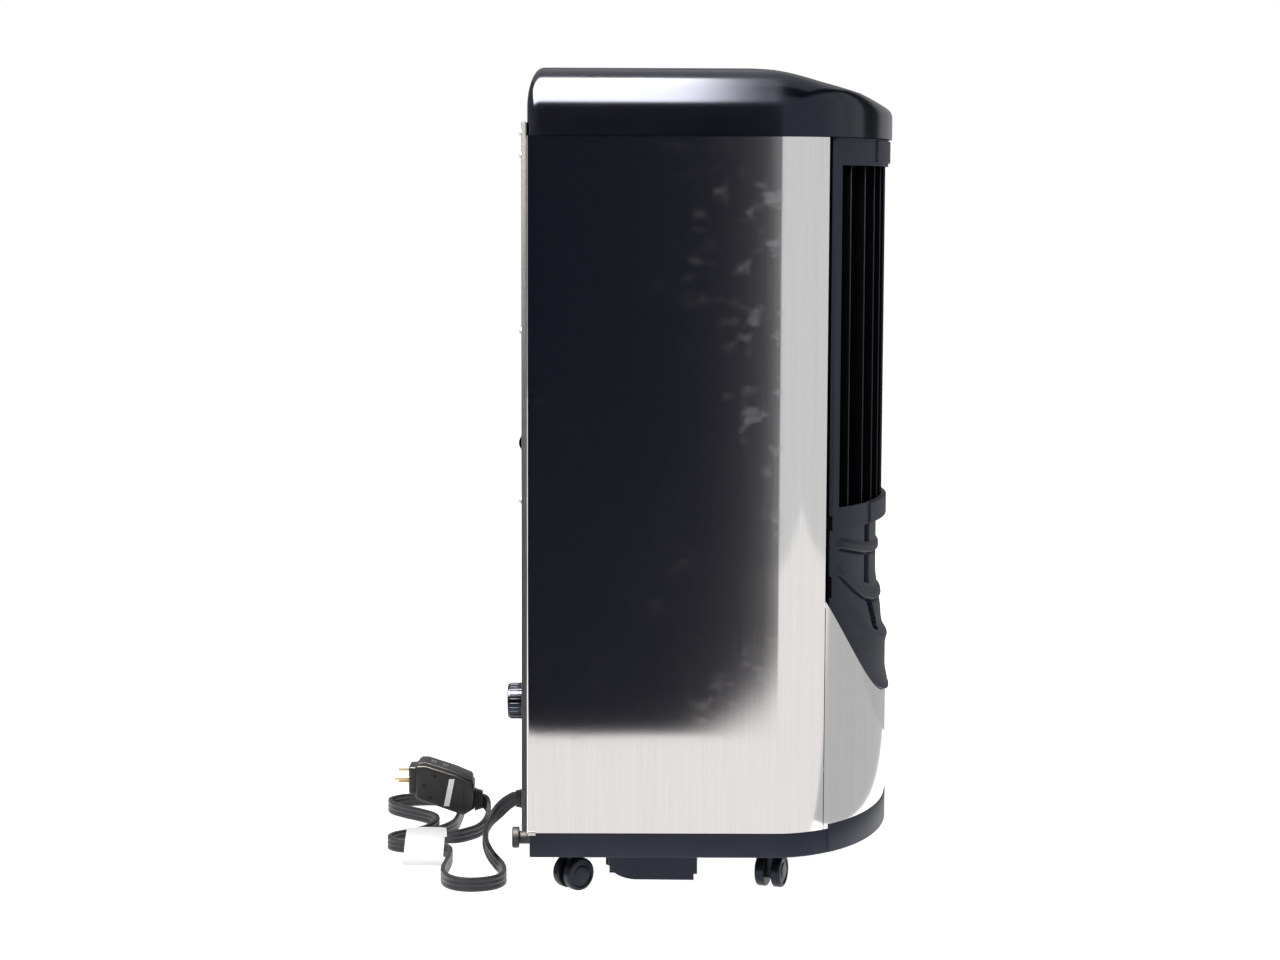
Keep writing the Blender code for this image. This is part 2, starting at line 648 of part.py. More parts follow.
def build_link_bar():
    """The bar that ties the vanes' crank pins together."""
    centres = [(x, vane_axis(x)[1] + CRANK_ARM) for x in VANE_X]
    ends = [(centres[0][0] - 0.009, centres[0][1] + 0.004)] + centres
    ends += [(centres[-1][0] + 0.009, centres[-1][1] + 0.004)]
    back = [(x, y + LINK_HALF_DEPTH) for x, y in ends]
    front = [(x, y - LINK_HALF_DEPTH) for x, y in ends]
    low = WINDOW_HIGH - 0.012 + 0.003
    bar = prism("vane_link_bar", front + back[::-1], low, low + LINK_HEIGHT, CHARCOAL)
    holes = bmesh.new()
    for x, y in centres:
        add_rod(holes, "Z", (x, y, 0), LINK_HOLE_RADIUS, low - 0.01, low + 0.02, 16)
    return cut(bar, finish(holes, "link_holes", None))


# ---- Top cover and controls ----
def cover_ring(inset_side, inset_rear):
    """The plan drawn in by one amount at the sides and front and another at the rear, from the rear
    right corner round by the left side and the front."""
    half = HALF_WIDTH - inset_side
    rear = REAR_Y - inset_rear
    corner = max(0.004, COVER_CORNER - inset_rear)
    turn = [math.radians(angle) for angle in (0, 30, 60, 90)]
    right = [(half - corner + corner * math.cos(a), rear - corner + corner * math.sin(a)) for a in turn]
    left = [(-x, y) for x, y in right[::-1]]
    bend_y = SLOPE_START_Y + SLOPE_BLEND
    return right + left + [(-half, bend_y)] + nose_points(inset_side, -half, half, 24) + [(half, bend_y)]


def cover_height(height, y):
    """The lower of a ring's height and the sloped front, with a rounded edge between them in front."""
    forward = min(max((SLOPE_START_Y - y) / 0.05, 0.0), 1.0)
    gap = height - slope_z(y)
    return (height + slope_z(y) - math.sqrt(gap * gap + (FRONT_EDGE_BLEND * forward) ** 2)) / 2


def build_cover():
    """Rings of the plan outline, drawn in as they climb the rolled edge, under the sloped front."""
    bm = bmesh.new()
    rings = [[bm.verts.new((x, y, PANEL_TOP + GAP)) for x, y in cover_ring(0.0, 0.0)]]
    steps = 7
    for step in range(steps + 1):
        angle = math.radians(90 * step / steps)
        share = 1 - math.cos(angle)
        height = PANEL_TOP + COVER_STRAIGHT + ROLL_HEIGHT * math.sin(angle)
        outline = cover_ring(SIDE_ROLL * share, REAR_ROLL * share)
        rings.append([bm.verts.new((x, y, cover_height(height, y))) for x, y in outline])
    for lower, upper in zip(rings, rings[1:]):
        for i, vert in enumerate(lower):
            bm.faces.new((vert, lower[i - 1], upper[i - 1], upper[i]))
    top = rings[-1]
    pairs = [(top[3 - k], top[4 + k]) for k in range(len(top) // 2)]
    for (right, left), (next_right, next_left) in zip(pairs, pairs[1:]):
        bm.faces.new((right, left, next_left, next_right))
    bm.faces.new((*pairs[-1], top[4 + len(pairs)]))
    cover = finish(bm, "top_cover", COVER_BLACK)
    wall = cover.modifiers.new("wall", "SOLIDIFY")
    wall.thickness = SHELL
    wall.offset = -1
    wall.use_even_offset = True
    opening = on_slope(box("control_opening", (-PANEL_HALF_WIDTH, -PANEL_HALF_LENGTH, -0.02),
                           (PANEL_HALF_WIDTH, PANEL_HALF_LENGTH, 0.02), None))
    return cut(cover, opening)


def on_slope(obj, x=0.0, along=0.0):
    """Moves an object that is modelled flat onto the control panel's slope."""
    turn = Matrix.Rotation(SLOPE, 4, "X")
    middle = Matrix.Translation((0, PANEL_Y, slope_z(PANEL_Y)))
    obj.matrix_world = middle @ turn @ Matrix.Translation((x, along, 0))
    return obj


def build_controls():
    edge = 0.0004
    low = (-PANEL_HALF_WIDTH + edge, -PANEL_HALF_LENGTH + edge, -SHELL)
    high = (PANEL_HALF_WIDTH - edge, PANEL_HALF_LENGTH - edge, 0.0006)
    panel = on_slope(box("control_panel", low, high, CHARCOAL))
    holes = bmesh.new()
    for x in BUTTON_X:
        add_rod(holes, "Z", (x, BUTTON_ROW, 0), BUTTON_RADIUS + BUTTON_RUN, -0.02, 0.02, 20)
    add_box(holes, (-LENS_HALF_WIDTH, LENS_ROW - LENS_HALF_LENGTH, -0.02),
            (LENS_HALF_WIDTH, LENS_ROW + LENS_HALF_LENGTH, 0.02))
    cut(panel, on_slope(finish(holes, "panel_holes", None)))
    lens_edge = LENS_HALF_WIDTH - GAP, LENS_HALF_LENGTH - GAP
    on_slope(box("display_lens", (-lens_edge[0], -lens_edge[1], -0.0025),
                 (lens_edge[0], lens_edge[1], 0.0008), LENS_DARK), 0.0, LENS_ROW)
    for name, x in zip(BUTTON_NAMES, BUTTON_X):
        key = rod(f"button_{name}", "Z", (0, 0, 0), BUTTON_RADIUS, -0.0080, BUTTON_PROUD, KEY_GREY, 20)
        on_slope(key, x, BUTTON_ROW)
    duct_top = WINDOW_HIGH + DUCT_WALL + DUCT_MARGIN
    box("control_box", (-0.100, -0.148, duct_top + GAP), (0.100, -0.075, 0.7400), GALVANISED)


# ---- Rear ----
def build_rear_panel():
    panel = box("rear_panel", (-REAR_HALF_WIDTH, REAR_Y + GAP, BASE_TOP + GAP),
                (REAR_HALF_WIDTH, REAR_Y + GAP + REAR_THICKNESS, REAR_TOP), REAR_BLACK)
    holes = bmesh.new()
    add_box(holes, (-INTAKE_HALF_WIDTH, 0.1, INTAKE_LOW), (INTAKE_HALF_WIDTH, 0.3, INTAKE_HIGH))
    add_rod(holes, "Y", (PORT_X, 0, PORT_Z), PORT_RADIUS + PORT_WALL + GAP, 0.1, 0.3, 36)
    add_rod(holes, "Y", (DRAIN_X, 0, DRAIN_Z), SPOUT_RADIUS + GAP, 0.1, 0.3)
    add_box(holes, (ENTRY_X - BUSH_HALF_WIDTH - GAP, 0.1, ENTRY_Z - BUSH_HALF_HEIGHT - GAP),
            (ENTRY_X + BUSH_HALF_WIDTH + GAP, 0.3, ENTRY_Z + BUSH_HALF_HEIGHT + GAP))
    for row in range(8):
        z = 0.235 + row * 0.015
        add_box(holes, (-0.185, 0.1, z), (-0.040, 0.3, z + 0.007))
    return cut(panel, finish(holes, "rear_openings", None))


def build_collar():
    """The exhaust hose socket: a ring through the panel with a flange behind it."""
    rear = REAR_Y + GAP + REAR_THICKNESS
    outer = PORT_RADIUS + PORT_WALL
    inside = rear - COLLAR_LENGTH
    flange = REAR_Y - GAP
    profile = [(PORT_RADIUS, inside), (outer, inside), (outer, flange - 0.003),
               (outer + 0.008, flange - 0.003), (outer + 0.008, flange), (outer, flange),
               (outer, rear), (PORT_RADIUS, rear)]
    return turned("exhaust_collar", profile, "Y", (PORT_X, 0, PORT_Z), REAR_BLACK, 36)


def build_filter():
    low_y, high_y = REAR_Y + GAP, REAR_Y + GAP + REAR_THICKNESS
    edge = GAP + 0.0002
    grille = box("intake_grille", (-INTAKE_HALF_WIDTH + edge, low_y, INTAKE_LOW + edge),
                 (INTAKE_HALF_WIDTH - edge, high_y, INTAKE_HIGH - edge), REAR_BLACK)
    slots = bmesh.new()
    count = int((INTAKE_HIGH - INTAKE_LOW - 0.03) / SLOT_PITCH)
    first = (INTAKE_LOW + INTAKE_HIGH) / 2 - (count - 1) * SLOT_PITCH / 2
    for row in range(count):
        z = first + row * SLOT_PITCH
        add_box(slots, (-INTAKE_HALF_WIDTH + 0.012, 0.1, z - SLOT_HEIGHT / 2),
                (-0.004, 0.3, z + SLOT_HEIGHT / 2))
        add_box(slots, (0.004, 0.1, z - SLOT_HEIGHT / 2),
                (INTAKE_HALF_WIDTH - 0.012, 0.3, z + SLOT_HEIGHT / 2))
    cut(grille, finish(slots, "intake_slots", None))
    middle = (TAB_LOW + TAB_HIGH) / 2
    hook = [(high_y - 0.002, TAB_LOW - 0.002), (high_y + TAB_DEPTH * 0.45, TAB_LOW + 0.001),
            (high_y + TAB_DEPTH, middle), (high_y + TAB_DEPTH, TAB_HIGH - 0.002),
            (high_y + TAB_DEPTH * 0.6, TAB_HIGH), (high_y + TAB_DEPTH * 0.35, middle + 0.002),
            (high_y - 0.002, TAB_LOW + 0.006)]
    for side in (-1, 1):
        join(grille, side_prism(f"pull_tab_{side}", hook, 0.014, side * TAB_X, None))
    frame = box("air_filter", (-0.168, 0.1655, INTAKE_LOW + 0.006), (0.168, 0.1700, INTAKE_HIGH - 0.006),
                FILTER_GREY)
    panes = bmesh.new()
    for column in range(4):
        for row in range(3):
            x, z = -0.162 + column * 0.0820, INTAKE_LOW + 0.012 + row * 0.0870
            add_box(panes, (x, 0.1, z), (x + 0.078, 0.1690, z + 0.082))
    return cut(frame, finish(panes, "filter_panes", None))


def build_drains():
    rear = REAR_Y + GAP + REAR_THICKNESS
    flange = SPOUT_RADIUS + 0.004
    spout = [(0.0075, rear - 0.020), (flange, rear - 0.020), (flange, REAR_Y - GAP),
             (SPOUT_RADIUS, REAR_Y - GAP), (SPOUT_RADIUS, rear + 0.009), (0.0075, rear + 0.009)]
    turned("drain_spout", spout, "Y", (DRAIN_X, 0, DRAIN_Z), REAR_BLACK, 24)
    base = rear + GAP
    cap = [(0, base + 0.0110), (SPOUT_RADIUS + 0.0006, base + 0.0110), (SPOUT_RADIUS + 0.0006, base),
           (CAP_RADIUS, base), (CAP_RADIUS, base + CAP_DEPTH - 0.002),
           (CAP_RADIUS - 0.002, base + CAP_DEPTH), (0, base + CAP_DEPTH)]
    cap = turned("drain_cap", cap, "Y", (DRAIN_X, 0, DRAIN_Z), COVER_BLACK, CAP_FLUTES * 2)
    flutes = bmesh.new()
    for index in range(CAP_FLUTES):
        angle = math.tau * (index + 0.5) / CAP_FLUTES
        place = (DRAIN_X + (CAP_RADIUS + 0.0008) * math.cos(angle), 0,
                 DRAIN_Z + (CAP_RADIUS + 0.0008) * math.sin(angle))
        add_rod(flutes, "Y", place, 0.0016, base + 0.002, base + CAP_DEPTH + 0.01, 8)
    flutes = finish(flutes, "cap_flutes", None)
    for piece in (cap, flutes):
        hinge_at(piece, (DRAIN_X, base, DRAIN_Z))
    cut(cap, flutes)
    disc = rod("drain_plug", "Y", (LOW_DRAIN_X, 0, LOW_DRAIN_Z), PLUG_DISC_RADIUS, NECK_END_Y + GAP,
               NECK_END_Y + GAP + PLUG_DISC_DEPTH, REAR_BLACK)
    stub = rod("drain_plug_stub", "Y", (LOW_DRAIN_X, 0, LOW_DRAIN_Z), NECK_BORE - GAP, NECK_END_Y - 0.008,
               NECK_END_Y + 0.002, None)
    for piece in (disc, stub):
        hinge_at(piece, (LOW_DRAIN_X, NECK_END_Y, LOW_DRAIN_Z))
    join(disc, stub)


# ---- Inside ----
def build_deck():
    outline = plan_outline(0.0052, REAR_Y - 0.004)
    deck = prism("divider_deck", outline, DECK_LOW, DECK_LOW + DECK_THICKNESS, GALVANISED)
    pipe = rod("pipe_hole", "Z", (-0.165, 0.085, 0), 0.009, 0.3, 0.4, None)
    return cut(deck, pipe)


def build_coil(name, low, high):
    """A finned block between two end plates, which carry it."""
    (low_x, _, low_z), (high_x, _, high_z) = low, high
    coil = box(name, (low_x - 0.001, COIL_FRONT_Y, low_z + COIL_FOOT),
               (high_x + 0.001, COIL_REAR_Y, high_z - 0.003), FIN_ALUMINIUM)
    plates = [((x, COIL_FRONT_Y, low_z), (x + COIL_PLATE, COIL_REAR_Y + 0.005, high_z))
              for x in (low_x - COIL_PLATE, high_x)]
    return join(coil, box(f"{name}_ends", *plates[0], None, plates[1]))


def build_coils():
    floor = BASE_BOTTOM + BASE_FLOOR + GAP
    deck = DECK_LOW + DECK_THICKNESS + GAP
    build_coil("evaporator", (-0.165, 0, deck), (0.165, 0, 0.700))
    build_coil("condenser", (-0.025, 0, floor), (0.175, 0, 0.350))


def build_blower():
    housing = [(0.085, 0.0975), (0.1325, 0.0975), (0.1325, 0.020), (0.135, 0.020), (0.135, 0.100), (0.085, 0.100)]
    turned("blower_housing", housing, "Y", (0, 0, FAN_AXIS_Z), INNER_WHITE, 40)
    centre = (0, 0, FAN_AXIS_Z)
    wheel = rod("blower_wheel", "Y", centre, 0.105, 0.030, 0.033, INNER_WHITE, 32)
    blades = bmesh.new()
    for index in range(BLOWER_BLADES):
        verts = add_box(blades, (-0.0009, 0.0325, 0.088), (0.0009, 0.0865, 0.104))
        spin = Matrix.Rotation(math.tau * index / BLOWER_BLADES, 4, "Y")
        bmesh.ops.transform(blades, matrix=Matrix.Translation(centre) @ spin, verts=verts)
    blades = finish(blades, "blower_blades", None)
    ring = turned("blower_ring", [(0.087, 0.086), (0.105, 0.086), (0.105, 0.089), (0.087, 0.089)][::-1], "Y",
                  centre, None, 32)
    shaft = rod("blower_shaft", "Y", centre, 0.0040, -0.010, 0.045, None, 16)
    hub = rod("blower_hub", "Y", centre, 0.0120, 0.0260, 0.0400, None)
    join(wheel, blades, ring, shaft, hub)
    for piece in (wheel, blades, ring, shaft, hub):
        hinge_at(piece, (0, 0.030, FAN_AXIS_Z))
    motor = rod("blower_motor", "Y", centre, 0.042, -0.040, 0.0200, MOTOR_BLACK)
    deck = DECK_LOW + DECK_THICKNESS + GAP
    stand = box("blower_pedestal", (-0.025, -0.032, deck), (0.025, 0.010, 0.515), None)
    cut(join(motor, stand), rod("blower_motor_bore", "Y", centre, 0.0043, -0.0120, 0.03, None, 16))


def build_cooling_fan():
    centre = (COOLING_FAN_X, 0, COOLING_FAN_Z)
    fan = rod("condenser_fan", "Y", centre, 0.028, 0.056, 0.080, INNER_WHITE)
    blades = bmesh.new()
    for index in range(5):
        verts = add_box(blades, (-0.022, -0.0012, 0.026), (0.022, 0.0012, 0.088))
        pitch = Matrix.Rotation(math.radians(28), 4, "Z")
        spin = Matrix.Rotation(math.tau * index / 5, 4, "Y")
        place = Matrix.Translation((COOLING_FAN_X, 0.068, COOLING_FAN_Z))
        bmesh.ops.transform(blades, matrix=place @ spin @ pitch, verts=verts)
    blades = finish(blades, "cooling_blades", None)
    shaft = rod("cooling_shaft", "Y", centre, 0.0040, 0.0200, 0.0600, None, 16)
    join(fan, blades, shaft)
    for piece in (fan, blades, shaft):
        hinge_at(piece, (COOLING_FAN_X, 0.068, COOLING_FAN_Z))
    motor = rod("fan_motor", "Y", centre, 0.038, -0.010, 0.046, MOTOR_BLACK)
    floor = BASE_BOTTOM + BASE_FLOOR + GAP
    stand = box("fan_pedestal", (COOLING_FAN_X - 0.022, -0.002, floor), (COOLING_FAN_X + 0.022, 0.036, 0.185),
                None)
    cut(join(motor, stand), rod("fan_motor_bore", "Y", centre, 0.0043, 0.0170, 0.06, None, 16))
    shroud = box("fan_shroud", (-0.024, 0.088, 0.072), (0.174, 0.0915, 0.348), INNER_WHITE)
    cut(shroud, rod("shroud_mouth", "Y", centre, 0.094, 0.05, 0.12, None, 36))


def build_compressor():
    floor = BASE_BOTTOM + BASE_FLOOR + GAP
    radius = COMPRESSOR_RADIUS
    profile = [(0, floor + 0.016), (radius * 0.8, floor + 0.016), (radius, floor + 0.034),
               (radius, floor + 0.165), (radius * 0.8, floor + 0.190), (radius * 0.3, floor + 0.200),
               (0, floor + 0.202)]
    shell = turned("compressor", profile, "Z", (COMPRESSOR_X, COMPRESSOR_Y, 0), MOTOR_BLACK, 28)
    foot = box("compressor_foot", (COMPRESSOR_X - 0.058, COMPRESSOR_Y - 0.058, floor),
               (COMPRESSOR_X + 0.058, COMPRESSOR_Y + 0.058, floor + 0.018), None)
    join(shell, foot)
    join(shell, rod("accumulator", "Z", (COMPRESSOR_X - 0.060, COMPRESSOR_Y + 0.050, 0), 0.020, floor + 0.002,
                    0.205, None))
    top = floor + 0.202 + GAP
    suction = [(-0.165, 0.085, 0.445), (-0.165, 0.085, 0.330), (-0.165, 0.070, 0.280), (-0.165, 0.030, 0.250),
               (-0.165, 0.020, 0.2150)]
    tube("suction_pipe", smooth_path(suction, 0.012) + [(-0.165, 0.020, 0.205 + GAP)], 0.0045, COPPER)
    discharge = [(COMPRESSOR_X, COMPRESSOR_Y, top + 0.008), (COMPRESSOR_X, COMPRESSOR_Y, top + 0.020),
                 (COMPRESSOR_X + 0.008, COMPRESSOR_Y + 0.020, 0.290), (-0.075, 0.050, 0.300),
                 (-0.055, 0.110, 0.300), (-0.040, 0.122, 0.300)]
    ends = (COMPRESSOR_X, COMPRESSOR_Y, top), (-0.030 - GAP, 0.122, 0.300)
    tube("discharge_pipe", [ends[0], *smooth_path(discharge, 0.012), ends[1]], 0.0035, COPPER)


# ---- Cord and plug ----
def build_cord():
    bush = box("cord_bush", (ENTRY_X - BUSH_HALF_WIDTH, REAR_Y - 0.012, ENTRY_Z - BUSH_HALF_HEIGHT),
               (ENTRY_X + BUSH_HALF_WIDTH, BUSH_END_Y, ENTRY_Z + BUSH_HALF_HEIGHT), CORD_BLACK)
    bevel(bush, 0.0015)
    start = (ENTRY_X, BUSH_END_Y + GAP, ENTRY_Z)
    tube("power_cord", [start, *smooth_path(CORD_ROUTE, CORD_STEP), CORD_END], CORD_RADIUS, CORD_BLACK)
    tag = [(-0.0540, 0.0168), (-0.1060, 0.0022), (-0.1060, 0.0010), (-0.0540, 0.0156)]
    front = Matrix(((1, 0, 0, 0), (0, 0, 1, 0), (0, 1, 0, 0), (0, 0, 0, 1)))
    prism("cord_tag", tag, 0.2645, 0.3035, PAPER, front)


def build_plug():
    body = side_prism("plug_body", PLUG_PROFILE, PLUG_HALF_WIDTH, PLUG_X, CORD_BLACK)
    (low_y, low_z), (high_y, high_z) = NOSE_BOX
    nose = box("plug_nose", (PLUG_X - PLUG_HALF_WIDTH + 0.003, low_y, low_z),
               (PLUG_X + PLUG_HALF_WIDTH - 0.003, high_y, high_z), None)
    join(body, nose)
    sockets = bmesh.new()
    ground_x, blade_x = PLUG_X - 0.007, PLUG_X + 0.005
    add_rod(sockets, "Y", (ground_x, 0, PIN_CENTRE_Z), 0.0024 + GAP, high_y - 0.006, high_y + 0.01, 16)
    blades = {"upper": PIN_CENTRE_Z + BLADE_SPACING / 2, "lower": PIN_CENTRE_Z - BLADE_SPACING / 2}
    for z in blades.values():
        add_box(sockets, (blade_x - 0.0032 - GAP, high_y - 0.006, z - 0.00075 - GAP),
                (blade_x + 0.0032 + GAP, high_y + 0.01, z + 0.00075 + GAP))
    slope = math.atan2(0.0745 - 0.0640, 0.2930 - 0.2600)
    turn = Matrix.Translation((PLUG_X, 0.2765, 0.06925)) @ Matrix.Rotation(slope, 4, "X")
    for along in (-0.0065, 0.0065):
        verts = add_box(sockets, (-0.0060, along - 0.0040, -0.0040), (0.0060, along + 0.0040, 0.01))
        bmesh.ops.transform(sockets, matrix=turn, verts=verts)
    cut(body, finish(sockets, "plug_sockets", None))
    rod("plug_ground_pin", "Y", (ground_x, 0, PIN_CENTRE_Z), 0.0024, high_y - 0.0055, PIN_TIP_Y, BRASS, 16)
    for name, z in blades.items():
        box(f"plug_blade_{name}", (blade_x - 0.0032, high_y - 0.0055, z - 0.00075),
            (blade_x + 0.0032, PIN_TIP_Y - 0.004, z + 0.00075), BRASS)
    for name, along in (("test", -0.0065), ("reset", 0.0065)):
        key = box(f"plug_{name}_button", (-0.0057, -0.0037, -0.0025), (0.0057, 0.0037, 0.0010), KEY_GREY)
        key.matrix_world = turn @ Matrix.Translation((0, along, 0))


def main():
    build_base()
    build_sump()
    for place, (x, y, turn) in CASTERS.items():
        build_caster(place, x, y, turn)
    build_side_panel("side_panel_left", -1)
    build_side_panel("side_panel_right", 1)
    build_lower_panel()
    build_trim()
    build_grille()
    build_duct()
    for index, x in enumerate(VANE_X, 1):
        build_vane(index, x)
    build_link_bar()
    build_cover()
    build_controls()
    build_rear_panel()
    build_collar()
    build_filter()
    build_drains()
    build_deck()
    build_coils()
    build_blower()
    build_cooling_fan()
    build_compressor()
    build_cord()
    build_plug()


main()
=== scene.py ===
"""A portable air conditioner with its cord and plug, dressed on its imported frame, in metres."""

import math

import bmesh
import bpy
from mathutils import Matrix, Vector


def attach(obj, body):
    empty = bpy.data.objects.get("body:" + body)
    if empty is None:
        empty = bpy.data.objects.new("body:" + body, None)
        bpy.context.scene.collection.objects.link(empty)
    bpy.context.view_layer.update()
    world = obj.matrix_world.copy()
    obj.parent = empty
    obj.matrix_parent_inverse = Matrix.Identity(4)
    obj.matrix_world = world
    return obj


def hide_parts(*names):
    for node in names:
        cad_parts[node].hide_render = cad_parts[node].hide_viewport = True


bl_info = {
    "name": "Portable Air Conditioner",
    "version": (1, 0, 0),
    "blender": (4, 5, 0),
    "location": "View3D > Sidebar > Air Conditioner",
    "description": "Builds a steel-sided portable air conditioner, its cord and a plain studio",
    "category": "Object",
}

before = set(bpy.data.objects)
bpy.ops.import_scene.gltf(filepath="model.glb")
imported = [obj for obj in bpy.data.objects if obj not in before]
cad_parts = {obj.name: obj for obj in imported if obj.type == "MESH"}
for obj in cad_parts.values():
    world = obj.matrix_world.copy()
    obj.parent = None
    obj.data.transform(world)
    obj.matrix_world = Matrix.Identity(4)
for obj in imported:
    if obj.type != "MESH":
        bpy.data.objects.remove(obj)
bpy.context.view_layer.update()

# ---- Sizes that the pieces share ----
HALF_WIDTH = 0.220
REAR_Y = 0.173
CURVE_Y = -0.0675
FRONT_Y = -0.191
NOSE_POWER = 1.9
CURVE_DEPTH = CURVE_Y - FRONT_Y
SEAM_X = 0.2005
BASE_BOTTOM = 0.037
BASE_TOP = 0.061
PANEL_TOP = 0.731
TOTAL_HEIGHT = 0.796
SHEET = 0.0012
GAP = 0.0003
COVER_STRAIGHT = 0.026
ROLL_HEIGHT = TOTAL_HEIGHT - PANEL_TOP - COVER_STRAIGHT
SLOPE = math.radians(13.4)
SLOPE_START_Y = -0.060
SLOPE_BLEND = 0.028
PANEL_Y = -0.118
TRIM_TOP = 0.3527
WINDOW_LOW = 0.3745
WINDOW_HIGH = 0.7045
WINDOW_X = 0.1827
REAR_FACE = REAR_Y + GAP + 0.005
SLOPE_PLACE_Z = TOTAL_HEIGHT - math.tan(SLOPE) * (SLOPE_START_Y - PANEL_Y)


# ---- Outlines and curves ----
def nose_y(x, inset=0.0):
    """Y of the cabinet's curved front at x, drawn in by inset."""
    share = min(abs(x) / (HALF_WIDTH - inset), 1.0)
    return CURVE_Y - (CURVE_DEPTH - inset) * (1 - share**NOSE_POWER) ** (1 / NOSE_POWER)


def nose_points(inset, from_x, to_x, count):
    """Points of the front outline from one x to another, evenly spread along the curve."""
    reach = HALF_WIDTH - inset

    def phase_of(x):
        return math.acos(math.copysign(min(abs(x) / reach, 1.0) ** (NOSE_POWER / 2), x))

    start, end = phase_of(from_x), phase_of(to_x)
    points = []
    for step in range(count + 1):
        phase = start + (end - start) * step / count
        x = math.copysign(abs(math.cos(phase)) ** (2 / NOSE_POWER), math.cos(phase)) * reach
        points.append((x, nose_y(x, inset)))
    return points


def slope_z(y):
    """Height of the cover's top at y: flat, then bending smoothly into the slope."""
    forward = max(SLOPE_START_Y + SLOPE_BLEND - y, 0.0)
    if forward < 2 * SLOPE_BLEND:
        return TOTAL_HEIGHT - math.tan(SLOPE) * forward**2 / (4 * SLOPE_BLEND)
    return TOTAL_HEIGHT - math.tan(SLOPE) * (forward - SLOPE_BLEND)


def smoothstep(low, high, value):
    share = min(max((value - low) / (high - low), 0.0), 1.0)
    return share * share * (3 - 2 * share)


def smooth_path(points, step):
    """Points about one step apart on a smooth curve through all of the given ones."""
    vectors = [Vector(point) for point in points]
    ends = [vectors[0] * 2 - vectors[1]] + vectors + [vectors[-1] * 2 - vectors[-2]]
    fine = []
    for before, start, end, after in zip(ends, ends[1:], ends[2:], ends[3:]):
        for part in range(12):
            t = part / 12
            fine.append(0.5 * (2 * start + (end - before) * t
                               + (2 * before - 5 * start + 4 * end - after) * t * t
                               + (3 * start - before - 3 * end + after) * t**3))
    fine.append(vectors[-1])
    total = sum((b - a).length for a, b in zip(fine, fine[1:]))
    count = max(2, round(total / step))
    picked, travelled, wanted = [fine[0]], 0.0, total / count
    for a, b in zip(fine, fine[1:]):
        length = (b - a).length
        while travelled + length >= wanted and len(picked) < count:
            picked.append(a.lerp(b, (wanted - travelled) / length))
            wanted += total / count
        travelled += length
    return picked + [fine[-1]]


# ---- Shader expressions ----
class Value:
    """A number that flows from one node's socket; operators add Math nodes."""

    def __init__(self, finish, socket):
        self.finish = finish
        self.socket = socket

    def math(self, operation, *others):
        return self.finish.node("ShaderNodeMath", {"operation": operation}, {0: self, **dict(enumerate(others, 1))})

    def __add__(self, other):
        return self.math("ADD", other)

    def __sub__(self, other):
        return self.math("SUBTRACT", other)

    def __mul__(self, other):
        return self.math("MULTIPLY", other)

    def __pow__(self, other):
        return self.math("POWER", other)

    def __rsub__(self, other):
        return self.finish.node("ShaderNodeMath", {"operation": "SUBTRACT"}, {0: other, 1: self})

    __radd__ = __add__
    __rmul__ = __mul__

    def between(self, low, high):
        """0 below low, 1 above high, with a smooth change."""
        return self.finish.node("ShaderNodeMapRange", {"interpolation_type": "SMOOTHSTEP"},
                                {"Value": self, "From Min": low, "From Max": high})


def socket_name(label):
    """The shader's name for a keyword, such as base_color."""
    return {"ior": "IOR", "specular_ior_level": "Specular IOR Level"}.get(label, label.replace("_", " ").title())


class Finish:
    """A material and its Principled shader."""

    def __init__(self, name, **constants):
        self.material = bpy.data.materials.new(name)
        self.material.use_nodes = True
        self.tree = self.material.node_tree
        self.shader = self.tree.nodes["Principled BSDF"]
        for label, value in constants.items():
            self.shader.inputs[socket_name(label)].default_value = value

    def node(self, kind, settings, inputs, output=0):
        node = self.tree.nodes.new(kind)
        for label, value in settings.items():
            if label == "stops":
                self.set_stops(node.color_ramp, value)
            else:
                setattr(node, label, value)
        for label, value in inputs.items():
            if isinstance(value, Value):
                self.tree.links.new(value.socket, node.inputs[label])
            else:
                node.inputs[label].default_value = value
        return Value(self, node.outputs[output])

    @staticmethod
    def set_stops(ramp, stops):
        for _ in stops[2:]:
            ramp.elements.new(0.5)
        for element, (place, colour) in zip(ramp.elements, stops):
            element.position = place
            element.color = (*colour, 1)

    def place(self, scale=(1, 1, 1), turn=(0, 0, 0), source="Object"):
        """Coordinates on the piece, stretched by scale."""
        where = self.node("ShaderNodeTexCoord", {}, {}, source)
        return self.node("ShaderNodeMapping", {}, {"Vector": where, "Rotation": turn, "Scale": scale})

    def split(self, where):
        """The three coordinates of a place."""
        outputs = self.node("ShaderNodeSeparateXYZ", {}, {0: where}).socket.node.outputs
        return [Value(self, outputs[label]) for label in "XYZ"]

    def noise(self, where, scale, detail=2.0, roughness=0.5):
        return self.node("ShaderNodeTexNoise", {}, {"Vector": where, "Scale": scale, "Detail": detail,
                                                    "Roughness": roughness}, "Fac")

    def mix(self, factor, first, second):
        return self.node("ShaderNodeMix", {"data_type": "RGBA"}, {0: factor, 6: first, 7: second}, 2)

    def edges(self, low=0.51, high=0.56):
        """1 on worn corners, 0 elsewhere."""
        return self.node("ShaderNodeNewGeometry", {}, {}, "Pointiness").between(low, high)

    def bump(self, height, strength, distance, below=None):
        links = {"Height": height, "Strength": strength, "Distance": distance}
        if below is not None:
            links["Normal"] = below
        return self.node("ShaderNodeBump", {}, links)

    def feed(self, **links):
        for label, value in links.items():
            self.tree.links.new(value.socket, self.shader.inputs[socket_name(label)])
        return self.material


def tint(colour, share):
    """A colour made lighter or darker by a factor."""
    return (*[min(channel * share, 1.0) for channel in colour[:3]], 1)


